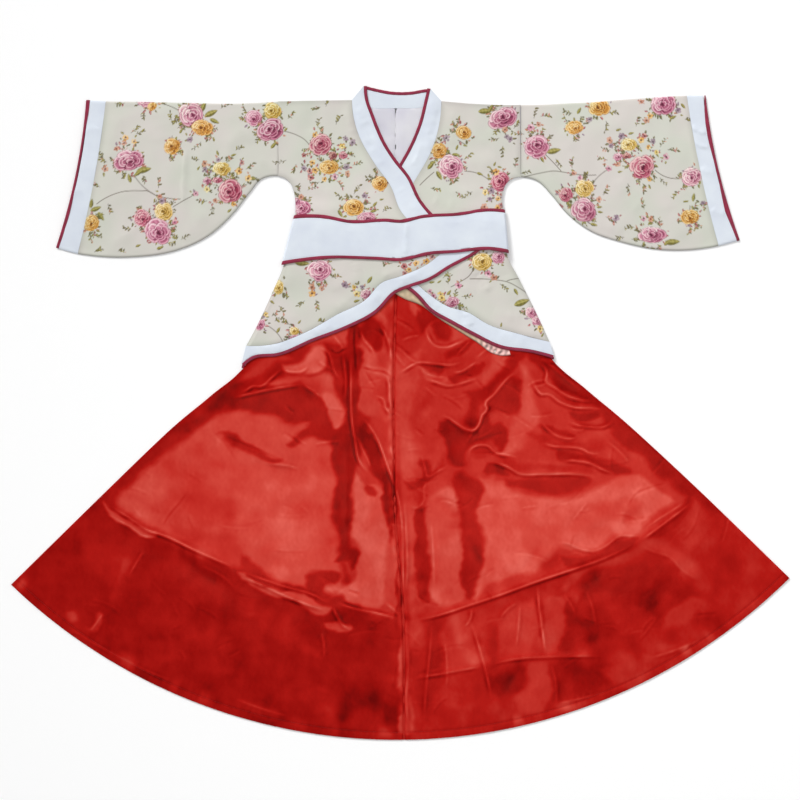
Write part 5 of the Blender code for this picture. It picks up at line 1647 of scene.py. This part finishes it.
# %% [markdown]
# ## Sleeves, cuffs and sash
#
# A sleeve that lies flat is a tube pressed shut, and so is the sash round the waist. Each is a closed
# loop: a fine upper run, a fold, a coarse lower run on the floor, and a fold back. An inner skin gives the
# cloth its thickness, and the two open ends are joined by a rim.

# %% Flattened loops of cloth
def ring_share(upper, lower):
    """Shares at which the two runs of a loop are sampled."""
    return even(upper), even(lower)[1:-1][::-1]


def flat_loop(name, plan_at, low_at, material, upper, stations, lower=12, thick=WALL, turn=4.0, crown=None,
              relief=None):
    """A pressed tube. plan_at(share, station) gives its plan and low_at the underside of the upper run.
    A share runs from one fold to the other and a station from one open end to the other."""
    station = even(stations)
    front, back = ring_share(upper, lower)
    plan = plan_at(front[:, None], station[None])
    width = np.linalg.norm(plan[-1] - plan[0], axis=-1)[None]
    edge = np.minimum(front, 1 - front)[:, None] * width
    high = low_at(plan) + thick
    curl = np.sqrt(np.clip(1 - (1 - np.minimum(edge / turn, 1))**2, 0, 1))
    rise = high * (0.5 + 0.5 * curl)
    if relief is not None:
        rise = rise + relief(plan) * np.minimum(edge / 12, 1)
    if crown is not None:
        rise = rise + crown(station)[None]
    back_plan = plan_at(back[:, None], station[None])
    back_edge = np.minimum(back, 1 - back)[:, None] * width
    back_z = 0.3 * (1 - np.minimum(back_edge / turn, 1))
    outer = np.concatenate([np.dstack([plan, rise]), np.dstack([back_plan, back_z])])

    inner_front, inner_back = ring_share(12, 8)
    inner_front = np.interp(inner_front, [0, 1], [0.5 * turn / width.mean(), 1 - 0.5 * turn / width.mean()])
    some = station[::4] if stations % 4 == 0 and stations > 4 else station
    in_plan = plan_at(inner_front[:, None], some[None])
    in_back = plan_at(inner_back[:, None], some[None])
    low = low_at(in_plan)
    low[0], low[-1] = high[0, 0] / 2 + 0.1, high[-1, 0] / 2 + 0.1
    flat_back = np.full(in_back.shape[:2], thick)
    inner = np.concatenate([np.dstack([in_plan, low]), np.dstack([in_back, flat_back])])

    places = np.vstack([outer.reshape(-1, 3), inner.reshape(-1, 3)])
    count = outer.shape[0] * outer.shape[1]
    outer_index = np.arange(count).reshape(outer.shape[:2])
    inner_index = np.arange(len(places) - count).reshape(inner.shape[:2]) + count
    faces = []
    for index, flip in ((outer_index, False), (inner_index, True)):
        down = np.roll(index, -1, axis=0)
        quads = np.stack([index[:, :-1], down[:, :-1], down[:, 1:], index[:, 1:]], axis=-1).reshape(-1, 4)
        faces += (quads[:, ::-1] if flip else quads).tolist()
    outer_share, inner_share = np.r_[front, 2 - back] / 2, np.r_[inner_front, 2 - inner_back] / 2
    for column, flip in ((0, True), (-1, False)):
        rim = zip_rings(outer_index[:, column], outer_share, inner_index[:, column], inner_share)
        faces += [face[::-1] if flip else face for face in rim]
    thing = as_piece(name, places, faces, material, 60)
    fix_normals(thing)
    return thing, plan


def rim_of(plan):
    """The outline of a grid of plan points."""
    return np.vstack([plan[0], plan[1:, -1], plan[-1, -2::-1], plan[-2:0:-1, 0]])


def relief_of(table, rise=1.0, waves=None):
    """Creases, and soft waves if any, as heights at a grid of plan points."""
    def relief(plan):
        flat = plan.reshape(-1, 2)
        soft = 0 if waves is None else rumple(flat, *waves)
        return (rise * creased(flat, table) + soft).reshape(plan.shape[:2])
    return relief


def round_top(station):
    """The rounded top of a piping, across its width."""
    return 0.7 * np.sqrt(np.clip(1 - (2 * station - 1)**2, 0, 1))


def fix_normals(thing):
    """Turn the faces of a closed skin outwards."""
    work = bmesh.new()
    work.from_mesh(thing.data)
    bmesh.ops.recalc_face_normals(work, faces=work.faces)
    work.to_mesh(thing.data)
    work.free()


# %% [markdown]
# A sleeve's table gives its fold and its seam at stations down the arm. Its cuff and the cuff's piping
# follow the same two lines a little further, and their open ends bow towards the body as they hang.

# %% Sleeves and cuffs
# side: fold x,fold y,seam x,seam y, down the sleeve from the armhole to the cuff
SLEEVES = dict(entries("""
left: -238.4,608.7,-238.4,463.2 -263.7,606.7,-269.6,457.6 -293,605.4,-294.9,429.3 -328.1,604.2,-328.1,387.4
  -371,604.8,-376.8,344.5 -429.5,606.2,-445.1,315.2 -488,607.5,-517.2,304.9 -574.8,608.7,-629.4,310.9;
right: 235.5,601.7,235.5,460.9 262.8,601.9,266.7,453.7 292,602.8,295.9,425.4 323.2,604.8,325.2,390.3
  370,606.7,370,356.2 428.5,611.6,432.4,333.7 487,615.9,506.5,319.1 559.2,620,621.4,326.5;
"""))
CUFFS = dict(entries("""
left: -574.8,608.7,-629.4,310.9 -592,610,-651,316.5 -607.5,611.3,-667,321.3;
right: 559.2,620,621.4,326.5 576,620.2,641,331.6 591,620.4,657.6,336.1;
"""))
CUFF_EDGES = dict(entries("""
left: -607.5,611.3,-667,321.3 -613,611.6,-672.1,322.6;
right: 591,620.4,657.6,336.1 596,620.4,662.8,337.4;
"""))
CUFF_TRIM = {
    # width of the piping against its usual width, evenly down the cuff
    "left": [1.45, 1.3, 0.85, 0.72, 0.72, 0.75, 0.95, 1.2, 1.3, 1.25, 1.0],
    "right": [0.4, 1.2, 1.6, 1.6, 1.2, 0.95, 0.95, 1.5, 1.9, 1.3, 1.1],
}
SLEEVE_CREASES = {
    "left": entries("""
1.4 7 0.5: -420,520 -422,470 -424,430 -420,404; -0.7 9 1: -408,516 -410,460 -412,410;
0.9 14 1: -548,600 -558,540 -572,480; 0.8 16 1: -480,600 -470,560 -466,520;
0.8 14 1: -560,460 -590,400 -606,350; 0.9 14 1: -300,560 -330,520 -340,470;
0.8 16 1: -380,400 -400,370 -430,340; 0.7 14 1: -260,590 -280,560 -290,520;
0.9 12 0.7: -500,380 -530,350 -570,330; 0.8 12 1: -256,500 -280,480 -300,450;
"""),
    "right": entries("""
0.9 14 1: 420,460 440,420 470,392; 0.9 12 0.7: 560,560 576,500 590,440; 0.9 14 1: 300,560 330,530 340,480;
0.8 16 1: 480,590 470,550 474,510; 0.9 14 1: 520,420 540,370 570,340; 0.7 14 1: 400,580 420,550 430,520;
1 10 0.6: 250,520 280,500 300,460; 0.8 12 1: 370,380 400,366 440,352;
"""),
}
CUFF_CREASES = {
    "left": entries("""
0.5 8 1: -590,560 -600,552 -612,556; 0.5 8 1: -620,440 -634,432 -646,436;
"""),
    "right": entries("""
0.9 6 0.6: 566,560 584,548 598,546; 0.8 6 0.6: 570,530 588,520 604,518; 0.7 7 1: 584,480 600,470 616,470;
0.7 7 1: 606,400 622,390 636,392;
"""),
}


def sleeve_plan(table, sign, bow_start, bow_end, hold=0.0):
    """Plan of a pressed tube between its fold and its seam, its open ends bowed towards the body."""
    rows = np.array(table, float)
    fold, seam = curve(rows[:, :2]), curve(rows[:, 2:])

    def plan_at(share, station):
        station = station.ravel()
        upper, lower = along(fold, station), along(seam, station)
        plan = upper[None] * (1 - share[..., None]) + lower[None] * share[..., None]
        bow = np.interp(station, [0, max(hold, 1e-6), 1], [bow_start, bow_start, bow_end])
        plan[..., 0] -= sign * bow[None] * 4 * share * (1 - share)
        return plan
    return plan_at, fold, seam


SWELL = 2.6


def lifted(fold, seam):
    """Underside of the upper wall of a sleeve: it swells a little between its folds."""
    def low_at(plan):
        x, y = np.abs(plan[..., 0]), plan[..., 1]
        top = np.interp(x, np.sort(np.abs(fold[:, 0])), fold[np.argsort(np.abs(fold[:, 0])), 1])
        bottom = np.interp(x, np.sort(np.abs(seam[:, 0])), seam[np.argsort(np.abs(seam[:, 0])), 1])
        share = np.clip((top - y) / np.maximum(top - bottom, 1), 0, 1)
        return TRIM_LAYER + SWELL * 4 * share * (1 - share) * np.clip((x + ARMHOLE_LEFT) / 120, 0, 1)
    return low_at


def begun(plan_at, first):
    """The same plan, begun a little way in, so that a piece keeps clear of its neighbour."""
    def later(share, station):
        return plan_at(share, first + (1 - first) * station)
    return later


def make_sleeve(side, sign):
    plan_at, fold, seam = sleeve_plan(SLEEVES[side], sign, 0, 6, 0.6)
    low_at = lifted(np.vstack([fold, curve(np.array(CUFFS[side], float)[:, :2])]),
                    np.vstack([seam, curve(np.array(CUFFS[side], float)[:, 2:])]))
    sleeve, plan = flat_loop(f"sleeve_{side}_cloth", begun(plan_at, 0.0008), low_at, COTTON, 184, 272,
                             relief=relief_of(SLEEVE_CREASES[side], 1.0, (0.5, 75, 12)))
    flat_plan = plan.reshape(-1, 2)
    # Painted shade along the sleeve's seam and at both its ends.
    put_print_and_shade(sleeve, printed(flat_plan) * seam_shade(flat_plan, seam, 0.3, 3.0)
        * seam_shade(flat_plan, plan[:, -1], 0.14, 6.0) * seam_shade(flat_plan, plan[:, 0], 0.12, 3.0))
    sewn_in(sleeve, f"sleeve_{side}")
    outline = rim_of(plan)
    size = outline.max(axis=0) - outline.min(axis=0)
    cut(sleeve, size[0], 2 * size[1], 2 * area_of(outline))
    print(sleeve.name, len(sleeve.data.polygons), "faces")

    plan_at, _, _ = sleeve_plan(CUFF_EDGES[side], sign, 10, 10)

    def trim_at(share, station):
        outer, within = plan_at(share, np.ones(station.size)), plan_at(share, 0.06 + 0.94 * station)
        return outer + (within - outer) * np.interp(share, even(10), CUFF_TRIM[side])[..., None]

    piping, _ = flat_loop(f"cuff_piping_{side}_cord", trim_at, low_at, CRIMSON, 120, 4,
                          thick=PIPING_HEIGHT, turn=2.5, crown=round_top)
    sewn_in(piping, f"cuff_piping_{side}")

    plan_at, _, _ = sleeve_plan(CUFFS[side], sign, 6, 10)
    band, plan = flat_loop(f"cuff_{side}_band", begun(plan_at, 0.01), low_at, WHITE, 160, 16,
                           crown=lambda s: 0.35 * (1 - (2 * s - 1)**4) - 0.15,
                           relief=relief_of(CUFF_CREASES[side], 1.6, (0.3, 46, 15)))
    sewn_in(band, f"cuff_{side}")
    length = 2 * np.linalg.norm(plan[-1, 8] - plan[0, 8])
    cut(band, 2 * area_of(rim_of(plan)) / length, length, with_pieces=[piping])


make_sleeve("left", -1)
make_sleeve("right", 1)

# %% [markdown]
# The sash is one pressed ring of white satin with a piping along each edge. It is made between two lines,
# and the pipings are the same loop carried on a little past its edges.

# %% Sash
SASH_CREASES = entries("""
1.3 6 0.8: 12,372 11,345 10,306; -0.5 12 1: -4,366 -5,340 -6,310; 0.5 12 1: -160,372 -162,340 -164,310;
0.4 14 1: -90,366 -88,340 -92,312; 0.5 12 1: 110,380 112,352 108,322; 0.5 14 1: 170,384 168,350 172,328;
""")
SASH_HEIGHT = 72.0


def make_sash():
    top, bottom = LINE["sash_top"], LINE["sash_bottom"]
    trim, seam = SASH_PIPING / SASH_HEIGHT, SEAM / SASH_HEIGHT

    def band(start, end):
        def plan_at(share, station):
            upper, lower = along(top, share.ravel()), along(bottom, share.ravel())
            step = start + (end - start) * station.ravel()
            return upper[:, None] + (lower - upper)[:, None] * step[None, :, None]
        return plan_at

    def low_at(plan):
        return read(LEVELS[SASH], plan)

    cords = []
    for name, start, end in (("top", -trim, -seam), ("bottom", 1 + seam, 1 + trim)):
        cord, _ = flat_loop(f"sash_piping_{name}_cord", band(start, end), low_at, CRIMSON, 176, 4,
                            thick=PIPING_HEIGHT, crown=round_top)
        sewn_in(cord, f"sash_piping_{name}")
        cords.append(cord)
    sash, plan = flat_loop("sash_band", band(0, 1), low_at, WHITE, 220, 32,
                           crown=lambda s: 0.45 * (1 - (2 * s - 1)**6) - 0.2,
                           relief=relief_of(SASH_CREASES))
    sewn_in(sash, "sash")
    length = 2 * (np.linalg.norm(np.diff(plan[:, 16], axis=0), axis=1).sum() + 8)
    cut(sash, 2 * area_of(rim_of(plan)) / length, length, with_pieces=cords)


make_sash()

# %% [markdown]
# ## Sewing
#
# A stitch repeats along a seam, so Geometry Nodes lay it: the path is cut into even steps, a small bead
# of thread is set on each, turned along the path, and the result is made real and given its material.
# The finished threads are turned into a plain mesh, because the export keeps no instances.

# %% Stitches by Geometry Nodes
def stitch_tree():
    tree = bpy.data.node_groups.new("row_of_stitches", "GeometryNodeTree")
    face = tree.interface
    face.new_socket("Path", in_out="INPUT", socket_type="NodeSocketGeometry")
    for label, value in (("Pitch", 0.0028), ("Stitch length", 0.0019), ("Thread", 0.0005)):
        face.new_socket(label, in_out="INPUT", socket_type="NodeSocketFloat").default_value = value
    face.new_socket("Material", in_out="INPUT", socket_type="NodeSocketMaterial")
    face.new_socket("Stitches", in_out="OUTPUT", socket_type="NodeSocketGeometry")

    given = add(tree, "NodeGroupInput")
    line = add(tree, "GeometryNodeMeshToCurve", links={"Mesh": (given, "Path")})
    steps = add(tree, "GeometryNodeResampleCurve", mode="LENGTH",
                links={"Curve": (line, "Curve"), "Length": (given, "Pitch")})
    bead = add(tree, "GeometryNodeMeshIcoSphere", {"Radius": 0.5, "Subdivisions": 1})
    tangent = add(tree, "GeometryNodeInputTangent")
    turn = add(tree, "FunctionNodeAlignRotationToVector", links={"Vector": (tangent, "Tangent")}, axis="X")
    size = add(tree, "CombineXYZ", links={"X": (given, "Stitch length"), "Y": (given, "Thread"),
                                          "Z": (given, "Thread")})
    beads = add(tree, "GeometryNodeInstanceOnPoints", links={
        "Points": (steps, "Curve"), "Instance": (bead, "Mesh"), "Rotation": (turn, "Rotation"),
        "Scale": (size, "Vector")})
    real = add(tree, "GeometryNodeRealizeInstances", links={"Geometry": (beads, "Instances")})
    painted = add(tree, "GeometryNodeSetMaterial", links={"Geometry": (real, "Geometry"),
                                                          "Material": (given, "Material")})
    add(tree, "NodeGroupOutput", links={"Stitches": (painted, "Geometry")})
    return tree


STITCHES = stitch_tree()


def sockets(tree):
    return {item.name: item.identifier for item in tree.interface.items_tree
            if item.item_type == "SOCKET" and item.in_out == "INPUT"}


def sew(name, paths, material, pitch=2.8, length=1.9, thread=0.55):
    """Rows of stitches along paths of places in mm, as one plain mesh."""
    places, edges = [], []
    for path in paths:
        edges += [(len(places) + k, len(places) + k + 1) for k in range(len(path) - 1)]
        places += (np.asarray(path) * MM).tolist()
    wire = bpy.data.meshes.new(name)
    wire.from_pydata(places, edges, [])
    line = bpy.data.objects.new(name, wire)
    link_in(line)
    rule = line.modifiers.new("stitches", "NODES")
    rule.node_group = STITCHES
    key = sockets(STITCHES)
    rule[key["Pitch"]], rule[key["Stitch length"]] = pitch * MM, length * MM
    rule[key["Thread"]], rule[key["Material"]] = thread * MM, material
    seen = line.evaluated_get(bpy.context.evaluated_depsgraph_get())
    line_mesh = bpy.data.meshes.new_from_object(seen)
    line.modifiers.clear()
    line.data = line_mesh
    line.data.shade_smooth()
    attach(line, "root")
    print(name, len(line.data.polygons), "faces")
    return line


# %% [markdown]
# White thread runs inside the collar edges, along the hem edges and near both edges of the sash. Red
# thread holds the skirt's hem 15 mm in.

# %% Where the seams are sewn
def on_top(path, layer, lift=0.0):
    """A path laid on the upper side of a layer."""
    return np.column_stack([path, read(LEVELS[layer], path) + WALL + lift])


def sew_all():
    white = []
    for side, layer, outward in (("left", LEFT, 1), ("right", RIGHT, -1)):
        edge = spaced(LINE[f"collar_edge_{side}"], 6)
        white.append(on_top(beside(edge, -outward * (PIPING_WIDTH + 2.6)), layer, -0.15))
        edge = spaced(LINE[f"hem_edge_{side}"], 6)
        white.append(on_top(beside(edge, 2.2), layer, -0.1))
    upper, lower = [along(LINE[f"sash_{edge}"], even(80)[2:-2]) for edge in ("top", "bottom")]
    for step in (0.035, 0.965):
        white.append(on_top(upper + (lower - upper) * step, SASH, 0.02))
    sew("seam_stitches", white, THREAD)
    path = along(beside(SKIRT_HEM, 15.0), np.linspace(0.01, 0.99, 500))
    _, high = skirt_heights(path)
    sew("hem_stitches", [np.column_stack([path, high + 0.15])], RED_THREAD, 3.2, 2.3, 0.6)


sew_all()

# %% [markdown]
# ## Floor and light
#
# The floor is a plain pale sheet. Four soft boxes hang above the skirt, each where flat satin mirrors it
# faintly, as patches of soft gloss. A box beyond the neck and one at the side even out the light, and a
# broad sun from the upper left gives the creases their shade. The sun's own mirror image is left out, as
# photographers do with a polarising sheet, because it turns satin white where the eye is low.

# %% Floor, lamps and surroundings
floor_mesh = bpy.data.meshes.new("floor")
floor_mesh.from_pydata([(-8, -8, 0), (8, -8, 0), (8, 8, 0), (-8, 8, 0)], [], [(0, 1, 2, 3)])
floor_material, _, floor_shader, _ = cloth_material("pale_floor", Roughness=0.9)
floor_shader.inputs["Base Color"].default_value = rgba("#FFFFFF")
floor_shader.inputs["Specular IOR Level"].default_value = 0.1
floor_mesh.materials.append(floor_material)
floor = bpy.data.objects.new("floor", floor_mesh)
link_in(floor)
floor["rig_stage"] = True


def soft_box(name, place, size, power, spin=0.0, aim=None):
    lamp = bpy.data.lights.new(name, "AREA")
    lamp.shape, lamp.size, lamp.size_y = "RECTANGLE", *size
    lamp.energy = power
    thing = bpy.data.objects.new(name, lamp)
    thing.location = place
    if aim is None:
        thing.rotation_euler = (0, 0, np.radians(spin))
    else:
        thing.rotation_euler = (Vector(aim) - Vector(place)).to_track_quat("-Z", "Y").to_euler()
    link_in(thing)


BOX_HEIGHT = 2.3
BOXES = [
    # where flat satin mirrors it: middle x, middle y, width, height in pixels, then its turn and strength
    ("left", 262, 497, 190, 150, -22, 5), ("right", 560, 492, 260, 160, 21, 5),
    ("right_low", 480, 662, 140, 100, 10, 2.5), ("waist", 400, 372, 240, 60, 0, 3),
]
EYE = np.array(camera.location)
MIRRORED = EYE[2] / (EYE[2] + BOX_HEIGHT)       # a mirror image's size against its lamp's
for name, x, y, width, height, turn, strength in BOXES:
    place = EYE[:2] + (at((x, y)) * MM - EYE[:2]) / MIRRORED
    size = np.array([width, height]) * PIXEL * MM / MIRRORED
    soft_box("box_" + name, (*place, BOX_HEIGHT), size, strength * size[0] * size[1], turn)
soft_box("box_neck", (0.0, 2.3, 2.3), (3.0, 1.2), 12, aim=(0, 0.4, 0))
soft_box("box_side", (2.2, 0.6, 2.0), (1.8, 1.8), 6, aim=(0, 0, 0))
key = bpy.data.lights.new("key", "SUN")
key.energy, key.angle = 2.2, np.radians(14)
key_lamp = bpy.data.objects.new("key", key)
key_lamp.rotation_euler = (np.radians(60), 0, np.radians(180 + 35))
key_lamp.visible_glossy = False
link_in(key_lamp)
world = bpy.data.worlds.new("studio")
world.use_nodes = True
world.node_tree.nodes["Background"].inputs["Color"].default_value = (1, 1, 1, 1)
world.node_tree.nodes["Background"].inputs["Strength"].default_value = 0.46
bpy.context.scene.world = world

# %% Boxes and finish
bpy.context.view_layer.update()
faces = sum(len(o.data.polygons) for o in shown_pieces() if o.type == "MESH" and "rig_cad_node" not in o)
print("faces added:", faces, "cuts:", CUTS)
